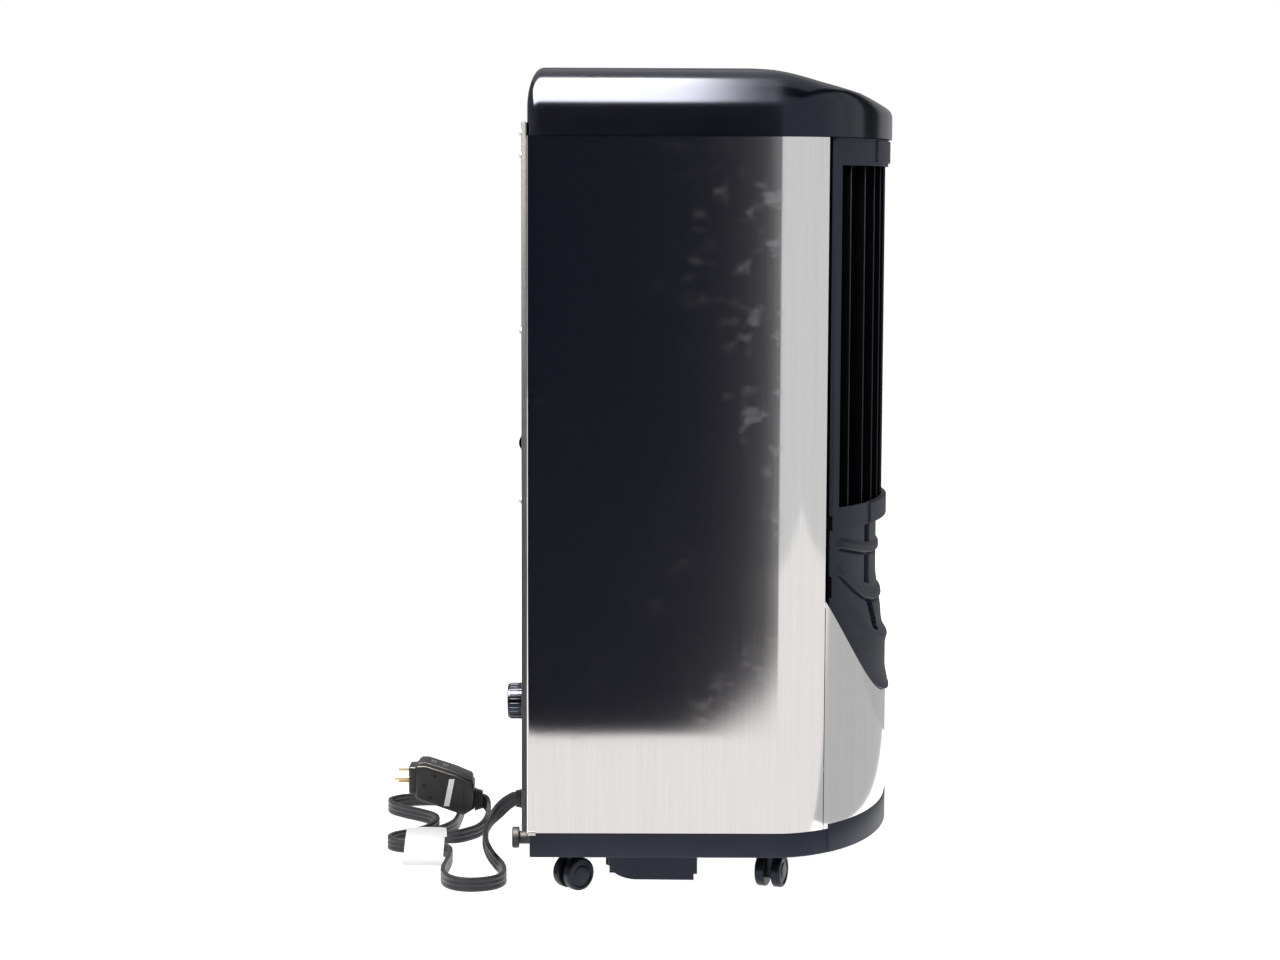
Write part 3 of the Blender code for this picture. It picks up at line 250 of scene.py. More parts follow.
def moulded_plastic(name, colour, roughness, grain=900.0, depth=0.00004, gloss=0.0, shine=0.5,
                    sheen=(1, 1, 1)):
    """Moulded plastic with a fine spark-eroded grain, dull patches of handling and paler corners."""
    finish = Finish(name, coat_weight=gloss, coat_roughness=0.12, ior=1.5, specular_ior_level=shine,
                    specular_tint=(*sheen, 1))
    where = finish.place()
    cloud = finish.noise(where, 14.0, 3.0)
    fine = finish.noise(where, grain, 2.0)
    shade = finish.mix(cloud, tint(colour, 0.86), tint(colour, 1.16))
    worn = finish.mix(finish.edges() * 0.30, shade, tint(colour, 1.9))
    return finish.feed(base_color=worn, roughness=(roughness - 0.05 + cloud * 0.10 + fine * 0.04),
                       normal=finish.bump(fine, 0.6, depth))


def brushed_steel():
    """Stainless sheet with upright brush lines, the gentle waves of thin sheet, and finger marks."""
    finish = Finish("brushed_steel", metallic=1.0, anisotropic=0.93)
    streaks = finish.noise(finish.place((1500, 9, 1), source="UV"), 1.0, 3.0, 0.6)
    broad = finish.noise(finish.place((160, 2.5, 1), source="UV"), 1.0, 2.0)
    shape = finish.noise(finish.place((44, 44, 70)), 1.0, 2.0, 0.55).between(0.52, 0.78)
    zone = finish.noise(finish.place(), 6.5, 1.0).between(0.44, 0.62)
    marks = shape * zone
    tone = (streaks * 0.7 + broad * 0.3).between(0.25, 0.75)
    colour = finish.mix(tone, (0.75, 0.74, 0.73, 1), (0.82, 0.81, 0.795, 1))
    waves = finish.noise(finish.place((0.3, 5.0, 3.0)), 1.0, 1.0)
    sheet = finish.bump(waves, 1.0, 0.0008)
    lines = finish.bump(streaks, 0.5, 0.000008, sheet)
    finish.feed(tangent=finish.node("ShaderNodeTangent", {"direction_type": "UV_MAP", "uv_map": "grain"}, {}))
    return finish.feed(base_color=colour, roughness=0.078 + marks * 0.050 + streaks * 0.014, normal=lines)


def cord_rubber():
    """Soft black sheath with a little dust."""
    finish = Finish("cord_rubber", ior=1.5)
    where = finish.place()
    cloud = finish.noise(where, 60.0, 3.0)
    dust = finish.noise(where, 420.0, 3.0).between(0.56, 0.70)
    colour = finish.mix(cloud, (0.0045, 0.0050, 0.0075, 1), (0.011, 0.012, 0.017, 1))
    dusty = finish.mix(dust * 0.16, colour, (0.08, 0.08, 0.09, 1))
    return finish.feed(base_color=dusty, roughness=0.34 + cloud * 0.14,
                       normal=finish.bump(finish.noise(where, 1200.0), 0.5, 0.00004))


def metal(name, colour, roughness, scale=(400, 400, 30), variation=0.12, depth=0.00002):
    """Bare or plated metal with a drawn grain and slight tarnish."""
    finish = Finish(name, metallic=1.0)
    grain = finish.noise(finish.place(scale), 1.0, 3.0)
    cloud = finish.noise(finish.place(), 24.0, 3.0)
    shade = finish.mix(cloud, tint(colour, 1 - variation), tint(colour, 1 + variation))
    return finish.feed(base_color=shade, roughness=roughness - 0.05 + grain * 0.12 + cloud * 0.05,
                       normal=finish.bump(grain, 0.4, depth))


def finned_aluminium():
    """A coil's face: close upright fins, with painted shade darkening the gaps between them."""
    finish = Finish("finned_aluminium", metallic=1.0)
    fins_and_gap_shade = finish.node("ShaderNodeTexWave", {"bands_direction": "X"},
                       {"Vector": finish.place(), "Scale": 160.0, "Distortion": 0.4}, "Fac")
    cloud = finish.noise(finish.place(), 20.0, 2.0)
    # The dark colour in the gaps is painted shade, not the metal's own colour.
    shade = finish.mix(fins_and_gap_shade, (0.05, 0.05, 0.055, 1), (0.62, 0.63, 0.64, 1))
    return finish.feed(base_color=shade, roughness=0.35 + cloud * 0.15,
                       normal=finish.bump(fins_and_gap_shade, 0.8, 0.0006))


def filter_mesh():
    """A woven screen: two crossed sets of threads."""
    finish = Finish("filter_mesh")
    rows = finish.node("ShaderNodeTexWave", {"bands_direction": "X"}, {"Vector": finish.place(), "Scale": 230.0}, "Fac")
    columns = finish.node("ShaderNodeTexWave", {"bands_direction": "Z"}, {"Vector": finish.place(), "Scale": 230.0},
                          "Fac")
    threads = rows.math("MAXIMUM", columns)
    shade = finish.mix(threads.between(0.6, 0.9), (0.012, 0.012, 0.014, 1), (0.16, 0.16, 0.17, 1))
    return finish.feed(base_color=shade, roughness=0.6 + threads * 0.2, normal=finish.bump(threads, 0.7, 0.0003))


def tag_film():
    """White film with a faint pale band of upright marks near its lower edge."""
    # The faint white emission is painted light: the film glows so that it looks brighter than the lamps light it.
    finish = Finish("tag_film", roughness=0.45, emission_strength=0.22)
    finish.shader.inputs["Emission Color"].default_value = (1, 1, 1, 1)
    where = finish.place(source="UV")
    along, up, _ = finish.split(where)
    cloud = finish.noise(finish.place(), 80.0, 3.0)
    bars = finish.node("ShaderNodeTexWave", {"bands_direction": "X"}, {"Vector": where, "Scale": 3.2,
                                                                       "Distortion": 1.5, "Detail": 1.0}, "Fac")
    band = up.between(0.10, 0.14) * (1 - up.between(0.24, 0.28)) * along.between(0.08, 0.12)
    paper = finish.mix(cloud, (0.80, 0.81, 0.84, 1), (0.90, 0.90, 0.92, 1))
    printed = finish.mix(bars.between(0.55, 0.75) * band * 0.35, paper, (0.70, 0.64, 0.66, 1))
    return finish.feed(base_color=printed, roughness=0.38 + cloud * 0.16,
                       normal=finish.bump(finish.noise(finish.place(), 130.0, 2.0), 0.5, 0.0004))


# ---- Mesh helpers ----
def finish_piece(bm, name, material, body, replaces=(), smooth=38, recalc=True):
    """Turns a bmesh into a piece that rides on a body and stands for CAD nodes."""
    if recalc:
        bmesh.ops.recalc_face_normals(bm, faces=bm.faces)
    mesh = bpy.data.meshes.new(name)
    bm.to_mesh(mesh)
    bm.free()
    mesh.materials.append(material)
    mesh.shade_smooth()
    mesh.set_sharp_from_angle(angle=math.radians(smooth))
    obj = bpy.data.objects.new(name, mesh)
    bpy.context.scene.collection.objects.link(obj)
    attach(obj, body)
    if replaces:
        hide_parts(*replaces)
    return obj


def axis_turn(axis):
    """A rotation that takes +Z to the named axis."""
    return {"Z": Matrix.Identity(4), "X": Matrix.Rotation(math.pi / 2, 4, "Y"),
            "Y": Matrix.Rotation(-math.pi / 2, 4, "X")}[axis]


def add_box(bm, low, high, round_by=0.0, segments=2):
    """A box, with all of its edges rounded when round_by is given."""
    size = [b - a for a, b in zip(low, high)]
    centre = [(a + b) / 2 for a, b in zip(low, high)]
    matrix = Matrix.Translation(centre) @ Matrix.Diagonal((*size, 1))
    verts = bmesh.ops.create_cube(bm, size=1, matrix=matrix)["verts"]
    if round_by:
        round_edges(bm, {e for v in verts for e in v.link_edges}, round_by, segments)
    return verts


def round_edges(bm, edges, width, segments=2):
    """Rounds the given edges."""
    return bmesh.ops.bevel(bm, geom=list(edges), offset=width, offset_type="OFFSET", segments=segments, profile=0.5,
                           affect="EDGES", material=-1, clamp_overlap=True)


def sharp_edges(bm, angle=40):
    """The edges that turn by more than an angle in degrees."""
    limit = math.radians(angle)
    return [e for e in bm.edges if len(e.link_faces) == 2 and e.calc_face_angle(0) > limit]


def add_rod(bm, axis, centre, radius, start, end, sides=48, round_by=0.0, end_radius=None):
    """A cylinder along an axis through centre, with rounded rims when round_by is given."""
    middle = list(centre)
    middle["XYZ".index(axis)] = (start + end) / 2
    matrix = Matrix.Translation(middle) @ axis_turn(axis)
    made = bmesh.ops.create_cone(bm, cap_ends=True, segments=sides, radius1=radius,
                                 radius2=radius if end_radius is None else end_radius, depth=end - start,
                                 matrix=matrix)["verts"]
    if round_by:
        rims = {e for v in made for e in v.link_edges if any(len(f.verts) > 4 for f in e.link_faces)}
        round_edges(bm, rims, round_by, 3)
    return made


def add_prism(bm, outline, low, high):
    """A flat outline in XY made solid from z = low to z = high."""
    face = bm.faces.new([bm.verts.new((x, y, low)) for x, y in outline])
    raised = bmesh.ops.extrude_face_region(bm, geom=[face])["geom"]
    top = [item for item in raised if isinstance(item, bmesh.types.BMVert)]
    bmesh.ops.translate(bm, vec=(0, 0, high - low), verts=top)
    return list(face.verts) + top


def add_turned(bm, profile, axis, centre, steps=64):
    """A closed (radius, height) profile spun about an axis through centre."""
    start = [bm.verts.new((radius, 0, height)) for radius, height in profile]
    edges = [bm.edges.new(pair) for pair in zip(start, start[1:] + start[:1])]
    old = set(bm.verts) - set(start)
    bmesh.ops.spin(bm, geom=start + edges, cent=(0, 0, 0), axis=(0, 0, 1), angle=math.tau, steps=steps,
                   use_merge=True, use_duplicate=False)
    made = [v for v in bm.verts if v not in old]
    bmesh.ops.transform(bm, matrix=Matrix.Translation(centre) @ axis_turn(axis), verts=made)
    bmesh.ops.remove_doubles(bm, verts=made, dist=1e-5)


def carve(obj, cutter_bm, operation="DIFFERENCE"):
    """Cuts or joins a bmesh into a finished piece and keeps the result as its mesh."""
    bmesh.ops.recalc_face_normals(cutter_bm, faces=cutter_bm.faces)
    mesh = bpy.data.meshes.new("cutter")
    cutter_bm.to_mesh(mesh)
    cutter_bm.free()
    cutter = bpy.data.objects.new("cutter", mesh)
    bpy.context.scene.collection.objects.link(cutter)
    modifier = obj.modifiers.new("cut", "BOOLEAN")
    modifier.operation = operation
    modifier.object = cutter
    bpy.context.view_layer.update()
    result = bpy.data.meshes.new_from_object(obj.evaluated_get(bpy.context.evaluated_depsgraph_get()))
    obj.modifiers.clear()
    old = obj.data
    obj.data = result
    result.name = obj.name
    bpy.data.meshes.remove(old)
    bpy.data.objects.remove(cutter)
    result.shade_smooth()
    result.set_sharp_from_angle(angle=math.radians(38))
    return obj


def soften(obj, width=0.0004, segments=2, angle=40):
    """Rounds a piece's sharp edges with a modifier."""
    modifier = obj.modifiers.new("soft edges", "BEVEL")
    modifier.width = width
    modifier.segments = segments
    modifier.limit_method = "ANGLE"
    modifier.angle_limit = math.radians(angle)
    modifier.harden_normals = True
    return obj


def extrude_line(bm, line, edges):
    """Extrudes a row or ring of edges; gives its new points, in the same order, and its new edges."""
    made = bmesh.ops.extrude_edge_only(bm, edges=edges)["geom"]
    fresh = {item for item in made if isinstance(item, bmesh.types.BMVert)}
    line = [next(e.other_vert(v) for e in v.link_edges if e.other_vert(v) in fresh) for v in line]
    return line, [item for item in made if isinstance(item, bmesh.types.BMEdge)]


SIDE_TURN = Matrix(((0, 0, 1, 0), (1, 0, 0, 0), (0, 1, 0, 0), (0, 0, 0, 1)))
SLOPE_PLACE = Matrix.Translation((0, PANEL_Y, SLOPE_PLACE_Z)) @ Matrix.Rotation(SLOPE, 4, "X")


def strip_piece(name, outline, low_of, high_of, rows, material, replaces, thickness=SHEET):
    """A sheet that follows an outline, with upright grain recorded in its UV map; low_of and high_of give
    its lower and upper edge for each x."""
    bm = bmesh.new()
    layer = bm.loops.layers.uv.new("grain")
    arcs = [0.0]
    for (ax, ay), (bx, by) in zip(outline, outline[1:]):
        arcs.append(arcs[-1] + math.hypot(bx - ax, by - ay))
    line = [bm.verts.new((x, y, low_of(x))) for x, y in outline]
    edges = [bm.edges.new(pair) for pair in zip(line, line[1:])]
    along = dict(zip(line, arcs))
    for row in range(1, rows + 1):
        line, edges = extrude_line(bm, line, edges)
        along.update(zip(line, arcs))
        for vert in line:
            low, high = low_of(vert.co.x), high_of(vert.co.x)
            vert.co.z = low + (high - low) * row / rows
    for face in bm.faces:
        for loop in face.loops:
            loop[layer].uv = (along[loop.vert], loop.vert.co.z)
    middle = Vector((0, 0.03, 0))
    facing = sum((f.normal.x * (f.calc_center_median().x - middle.x)
                  + f.normal.y * (f.calc_center_median().y - middle.y)) for f in bm.faces if not f.normal_update())
    if facing < 0:
        bmesh.ops.reverse_faces(bm, faces=bm.faces)
    bmesh.ops.solidify(bm, geom=bm.faces[:], thickness=thickness)
    return finish_piece(bm, name, material, "cabinet", replaces, recalc=False)


# ---- The finishes ----
class Palette:
    """Every material, made once."""

    def make(self, look):
        charcoal = look.plastic_colour[:]
        black = look.cover_colour[:]
        self.charcoal = moulded_plastic("charcoal_plastic", charcoal, 0.44, shine=0.26, sheen=(0.70, 0.80, 1.0))
        self.cover = moulded_plastic("cover_plastic", black, 0.16, grain=700.0, depth=0.000004, gloss=0.10, shine=0.46,
                                     sheen=(0.66, 0.74, 1.0))
        self.rear = moulded_plastic("rear_plastic", (0.016, 0.017, 0.020), 0.50)
        # Near-black and almost without shine: painted shade, so the grille ribs, the parts behind the grille window and
        # the strips behind the seams read as dark as shadow.
        self.inner = moulded_plastic("inner_plastic", (0.0006, 0.0006, 0.0010), 0.80, shine=0.03)
        self.caster = moulded_plastic("caster_plastic", (0.0034, 0.0038, 0.0062), 0.32, gloss=0.05, shine=0.30,
                                      sheen=(0.70, 0.80, 1.0))
        self.key = moulded_plastic("key_plastic", (0.20, 0.21, 0.23), 0.40)
        self.lens = moulded_plastic("lens_plastic", (0.004, 0.004, 0.006), 0.06, depth=0.000001, gloss=0.8)
        self.cord = cord_rubber()
        self.plug = moulded_plastic("plug_plastic", (0.0045, 0.0048, 0.0060), 0.34, grain=1200.0)
        self.plug_top = moulded_plastic("plug_cap_plastic", (0.016, 0.014, 0.019), 0.40, grain=1200.0)
        self.steel = brushed_steel()
        self.zinc = metal("zinc_plate", (0.52, 0.52, 0.50), 0.34)
        self.galvanised = metal("galvanised_sheet", (0.50, 0.51, 0.52), 0.42, (60, 60, 60), 0.2)
        self.brass = metal("pin_brass", (0.58, 0.41, 0.21), 0.27)
        self.copper = metal("copper_pipe", (0.70, 0.32, 0.19), 0.28)
        self.enamel = moulded_plastic("black_enamel", (0.014, 0.014, 0.015), 0.26, grain=300.0, gloss=0.4)
        self.fins = finned_aluminium()
        self.filter = filter_mesh()
        self.white = moulded_plastic("fan_plastic", (0.045, 0.046, 0.05), 0.45)
        self.paper = tag_film()
        self.sticker = moulded_plastic("sticker_film", (0.80, 0.81, 0.84), 0.4, grain=500.0)


PALETTE = Palette()


# ---- Cord route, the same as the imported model's ----
CORD_ROUTE = (
    (-0.1400, 0.1885, 0.0778), (-0.1400, 0.1970, 0.0720), (-0.1400, 0.2050, 0.0635),
    (-0.1390, 0.2125, 0.0530), (-0.1360, 0.2165, 0.0410), (-0.1310, 0.2160, 0.0290),
    (-0.1270, 0.2120, 0.0175), (-0.1290, 0.2060, 0.0100), (-0.1420, 0.2005, 0.0078),
    (-0.1620, 0.1975, 0.0076), (-0.1820, 0.1975, 0.0076), (-0.1985, 0.2045, 0.0076),
    (-0.2070, 0.2170, 0.0076), (-0.2090, 0.2310, 0.0076), (-0.2030, 0.2440, 0.0076),
    (-0.1900, 0.2530, 0.0076), (-0.1700, 0.2575, 0.0076), (-0.1400, 0.2570, 0.0076),
    (-0.1100, 0.2550, 0.0076), (-0.0800, 0.2560, 0.0076), (-0.0600, 0.2650, 0.0076),
    (-0.0500, 0.2790, 0.0076), (-0.0480, 0.2950, 0.0076), (-0.0440, 0.3110, 0.0076),
    (-0.0300, 0.3215, 0.0076), (-0.0120, 0.3170, 0.0076), (0.0010, 0.3030, 0.0076),
    (0.0150, 0.2900, 0.0076), (0.0360, 0.2810, 0.0076), (0.0580, 0.2780, 0.0076),
    (0.0780, 0.2830, 0.0076), (0.0960, 0.2970, 0.0076), (0.1150, 0.3170, 0.0076),
    (0.1340, 0.3320, 0.0076), (0.1540, 0.3355, 0.0076), (0.1700, 0.3240, 0.0076),
    (0.1765, 0.3050, 0.0076), (0.1765, 0.2850, 0.0076), (0.1680, 0.2680, 0.0076),
    (0.1480, 0.2580, 0.0076), (0.1220, 0.2555, 0.0076), (0.0960, 0.2560, 0.0076),
    (0.0700, 0.2570, 0.0076), (0.0480, 0.2590, 0.0076), (0.0300, 0.2650, 0.0076),
    (0.0160, 0.2720, 0.0076), (0.0040, 0.2725, 0.0076), (-0.0040, 0.2640, 0.0076),
    (-0.0030, 0.2530, 0.0076), (0.0070, 0.2430, 0.0076), (0.0220, 0.2330, 0.0080),
    (0.0360, 0.2265, 0.0110), (0.0500, 0.2235, 0.0170), (0.0620, 0.2240, 0.0240),
    (0.0695, 0.2280, 0.0290), (0.0710, 0.2340, 0.0310),
)
CORD_START = (-0.1400, 0.1848, 0.0780)
CORD_END = (0.0710, 0.2385, 0.0310)
LANDED_Z = 0.0095


def cord_section(width, thickness):
    """The flat cord's outline: three round cores in one sheath, as (across, up) points."""
    points = []
    lobe = width / 6
    for side in (1, -1):
        for core in (1, 0, -1):
            for angle in (60, 30, 0, -30, -60) if side > 0 else (-60, -30, 0, 30, 60):
                turn = math.radians(angle)
                across = side * (thickness / 2 - lobe * 0.42 + lobe * 0.42 * math.cos(turn))
                up = side * core * 2 * lobe + lobe * math.sin(turn)
                points.append((across, up))
    return points


def cord_frames(path):
    """Unit vectors up the flat cord's width along its path, upright on the floor, turning over on the drop."""
    tangents = [(b - a).normalized() for a, b in zip(path, path[1:])]
    tangents = [tangents[0]] + [(a + b).normalized() for a, b in zip(tangents, tangents[1:])] + [tangents[-1]]
    landed = next(i for i, p in enumerate(path) if p.z < LANDED_Z)
    ups = [Vector((0, 0, 1))]
    for before, after in zip(tangents, tangents[1:landed + 1]):
        ups.append((before.rotation_difference(after) @ ups[-1]).normalized())
    upright = Vector((0, 0, 1))
    want = (upright - tangents[landed] * tangents[landed].z).normalized()
    have = ups[landed]
    short = have.angle(want)
    if tangents[landed].dot(have.cross(want)) < 0:
        short = -short
    for i in range(landed + 1):
        share = smoothstep(0, 1, i / landed)
        ups[i] = Matrix.Rotation(short * share, 3, tangents[i]) @ ups[i]
    for tangent in tangents[landed + 1:]:
        ups.append((upright - tangent * tangent.z).normalized())
    return tangents, ups


def build_cord(sizes):
    """The flat three-core cord, from the strain relief to the plug."""
    path = [Vector(CORD_START), *smooth_path(CORD_ROUTE, 0.003), Vector(CORD_END)]
    tangents, ups = cord_frames(path)
    section = cord_section(sizes.cord_width, sizes.cord_thickness)
    bm = bmesh.new()
    ring = [bm.verts.new((across, up, 0)) for across, up in section]
    edges = list(bm.faces.new(ring).edges)
    for place, tangent, up in zip(path, tangents, ups):
        side = up.cross(tangent)
        if place is not path[0]:
            ring, edges = extrude_line(bm, ring, edges)
        for vert, (across, high) in zip(ring, section):
            vert.co = place + side * across + up * high
    bm.faces.new(ring)
    cord = finish_piece(bm, "power_cord_ribbed", PALETTE.cord, "cabinet", ["power_cord"], smooth=50)
    return cord, [tuple(p) for p in path]


# ---- Properties ----
class UnitSizes(bpy.types.PropertyGroup):
    """Sizes that the panel shows."""

    cord_width: bpy.props.FloatProperty(
        name="Cord width", description="Width of the flat power cord", default=0.0142, unit="LENGTH")
    cord_thickness: bpy.props.FloatProperty(
        name="Cord thickness", description="Thickness of the flat power cord", default=0.0050, unit="LENGTH")
    cover_roll: bpy.props.FloatProperty(
        name="Cover roll", description="How far the top cover rolls in at its sides", default=0.040, unit="LENGTH")
    rib_width: bpy.props.FloatProperty(
        name="Grille rib", description="Width of one upright rib of the front grille", default=0.0026,
        unit="LENGTH")
    rib_pitch: bpy.props.FloatProperty(
        name="Grille pitch", description="Distance between the ribs of the front grille", default=0.0275,
        unit="LENGTH")


class UnitColours(bpy.types.PropertyGroup):
    """Colours that the panel shows."""

    plastic_colour: bpy.props.FloatVectorProperty(
        name="Plastic", description="Colour of the charcoal mouldings", subtype="COLOR",
        default=(0.0100, 0.0116, 0.0182))
    cover_colour: bpy.props.FloatVectorProperty(
        name="Cover", description="Colour of the top cover", subtype="COLOR", default=(0.0014, 0.0017, 0.0034))
    floor_colour: bpy.props.FloatVectorProperty(
        name="Floor", description="Colour of the studio floor", subtype="COLOR", default=(0.93, 0.93, 0.93))


def sizes():
    return bpy.context.scene.unit_sizes


def colours():
    return bpy.context.scene.unit_colours


# ---- Camera and studio ----
def stage_piece(bm, name, material):
    """Turns a bmesh into a piece of the studio."""
    mesh = bpy.data.meshes.new(name)
    bm.to_mesh(mesh)
    bm.free()
    mesh.materials.append(material)
    obj = bpy.data.objects.new(name, mesh)
    bpy.context.scene.collection.objects.link(obj)
    return obj


def card_fade(finish, front_y, front_soft, low_z, low_soft, corner):
    """1 on a card, fading out at its front and lower edges, with a rounded corner between them."""
    _, y, z = finish.split(finish.node("ShaderNodeTexCoord", {}, {}, "Object"))
    inside_y = (y - front_y) * (1 / front_soft)
    inside_z = (z - low_z) * (1 / low_soft)
    reach_y = (corner / front_soft - inside_y).math("MAXIMUM", 0.0) * (front_soft / corner)
    reach_z = (corner / low_soft - inside_z).math("MAXIMUM", 0.0) * (low_soft / corner)
    far = (reach_y**2.0 + reach_z**2.0).math("SQRT")
    return far.between(1.0, 1.0 - front_soft / corner)


def add_card(name, low, high, colour, strength, fade=None):
    """A flat card that only shows in reflections; low and high are opposite corners in X, Y, Z, with
    the middle pair of corners taken from both."""
    (ax, ay, az), (bx, by, bz) = low, high
    if az == bz:
        corners = [(ax, ay, az), (bx, ay, az), (bx, by, az), (ax, by, az)]
    elif ax == bx:
        corners = [(ax, ay, az), (ax, by, az), (ax, by, bz), (ax, ay, bz)]
    elif ay == by:
        corners = [(ax, ay, az), (bx, ay, az), (bx, ay, bz), (ax, ay, bz)]
    else:
        corners = [(ax, ay, az), (bx, ay, bz), (bx, by, bz), (ax, by, az)]
    bm = bmesh.new()
    bm.faces.new([bm.verts.new(corner) for corner in corners])
    finish = Finish(name)
    finish.tree.nodes.remove(finish.shader)
    surface = finish.node("ShaderNodeEmission", {}, {"Color": (*colour, 1), "Strength": strength})
    if fade:
        clear = finish.node("ShaderNodeBsdfTransparent", {}, {})
        surface = finish.node("ShaderNodeMixShader", {}, {0: card_fade(finish, *fade), 1: clear, 2: surface})
    finish.tree.links.new(surface.socket, finish.tree.nodes["Material Output"].inputs["Surface"])
    card = stage_piece(bm, name, finish.material)
    card.visible_camera = False
    card.visible_diffuse = False
    card.visible_shadow = False
    card.visible_transmission = False
    card.visible_volume_scatter = False


def add_light(name, place, aim, size, power, glossy):
    light = bpy.data.lights.new(name, "AREA")
    light.shape = "RECTANGLE"
    light.size, light.size_y = size
    light.energy = power
    obj = bpy.data.objects.new(name, light)
    obj.location = place
    obj.rotation_euler = (Vector(aim) - Vector(place)).to_track_quat("-Z", "Y").to_euler()
    obj.visible_camera = False
    obj.visible_glossy = glossy
    bpy.context.scene.collection.objects.link(obj)


class UNIT_OT_camera(bpy.types.Operator):
    """Sets the camera at the side view."""

    bl_idname = "unit.camera"
    bl_label = "Camera"

    def execute(self, context):
        data = bpy.data.cameras.new("side_camera")
        data.lens = 79.08
        data.sensor_width = 36.0
        data.clip_start, data.clip_end = 0.05, 60.0
        camera = bpy.data.objects.new("side_camera", data)
        pitch, roll, yaw = 0.1019, 0.0039, -0.0051
        ahead = Vector((math.cos(pitch) * math.cos(yaw), math.cos(pitch) * math.sin(yaw), -math.sin(pitch)))
        right = Vector((math.sin(yaw), -math.cos(yaw), 0))
        up = right.cross(ahead)
        x_axis = right * math.cos(roll) + up * math.sin(roll)
        y_axis = up * math.cos(roll) - right * math.sin(roll)
        turn = Matrix((x_axis, y_axis, -ahead)).transposed().to_4x4()
        camera.matrix_world = Matrix.Translation((-2.8894, 0.0785, 0.6777)) @ turn
        context.scene.collection.objects.link(camera)
        context.scene.camera = camera
        return {"FINISHED"}


COOL = (0.97, 0.98, 1.0)
FLOOR_COOL = (0.98, 0.99, 1.0)
CARDS = (
    ("dark_side", (-1.02, -0.5, 0.0), (-1.02, 2.6, 2.0), (0.0068, 0.0076, 0.0150), 1.0,
     (-0.162, 0.050, -0.035, 0.03, 0.20)),
    ("roll_glow", (-1.0, -0.30, 0.97), (-0.10, 1.6, 1.77), (1.0, 0.93, 0.84), 36.0, (-0.07, 0.09, 0.97, 0.02, 0.10)),
    ("front_glow", (-2.6, -2.6, 0.0), (0.3, -2.6, 2.6), COOL, 0.74),
    ("front_side_glow", (-2.6, -2.6, 0.0), (-2.6, 0.40, 2.6), COOL, 0.74),
    ("front_right_glow", (0.3, -2.6, 0.0), (1.4, -2.6, 2.6), COOL, 0.55),
    ("side_floor_glow", (-3.0, -2.6, 0.0015), (-0.32, 2.6, 0.0015), (0.97, 0.945, 0.94), 1.0),
    ("front_floor_glow", (-0.32, -2.6, 0.002), (0.6, -0.40, 0.002), FLOOR_COOL, 0.56),
    ("right_floor_glow", (0.6, -2.6, 0.002), (2.6, 2.6, 0.002), FLOOR_COOL, 0.50),
    ("right_glow", (2.2, -2.0, 0.0), (2.2, 2.4, 2.2), COOL, 0.42),
    ("rear_glow", (-1.6, 2.6, 0.3), (1.8, 2.6, 2.4), COOL, 0.45),
    ("top_glow", (-1.0, -2.0, 2.7), (2.6, 2.6, 2.7), COOL, 0.92),
)


class UNIT_OT_stage(bpy.types.Operator):
    """Lays the pale floor and sets the soft studio lights and their cards."""

    bl_idname = "unit.stage"
    bl_label = "Studio"

    def execute(self, context):
        scene = context.scene
        scene.view_settings.view_transform = "Standard"
        finish = Finish("studio_floor", roughness=0.9, emission_strength=1.0, specular_ior_level=0.0)
        finish.shader.inputs["Emission Color"].default_value = (1, 1, 1, 1)
        cloud = finish.noise(finish.place(), 3.0)
        shade = colours().floor_colour[:]
        finish.feed(base_color=finish.mix(cloud, tint(shade, 0.99), tint(shade, 1.0)))
        bm = bmesh.new()
        bmesh.ops.create_grid(bm, x_segments=1, y_segments=1, size=12.0)
        stage_piece(bm, "floor", finish.material)
        self.light_world(scene)
        for card in CARDS:
            add_card(*card)
        add_light("key", (-2.2, -0.8, 2.6), (0, 0, 0.4), (2.2, 2.2), 52, False)
        add_light("fill", (1.8, -1.8, 2.4), (0, 0, 0.3), (2.4, 2.4), 30, False)
        add_light("back", (0.6, 2.4, 2.4), (0, 0.1, 0.3), (2.4, 2.0), 30, False)
        return {"FINISHED"}

    @staticmethod
    def light_world(scene):
        """A white surround to the eye, and a dim one for light and reflections."""
        world = bpy.data.worlds.new("studio")
        scene.world = world
        world.use_nodes = True
        tree = world.node_tree
        dim = tree.nodes["Background"]
        dim.inputs["Color"].default_value = (0.040, 0.045, 0.060, 1)
        seen = tree.nodes.new("ShaderNodeBackground")
        seen.inputs["Color"].default_value = (1, 1, 1, 1)
        paths = tree.nodes.new("ShaderNodeLightPath")
        mix = tree.nodes.new("ShaderNodeMixShader")
        tree.links.new(paths.outputs["Is Camera Ray"], mix.inputs[0])
        tree.links.new(dim.outputs[0], mix.inputs[1])
        tree.links.new(seen.outputs[0], mix.inputs[2])
        tree.links.new(mix.outputs[0], tree.nodes["World Output"].inputs["Surface"])


# ---- Pieces on the cord ----
PLUG_X = 0.071
PLUG_HALF = 0.018


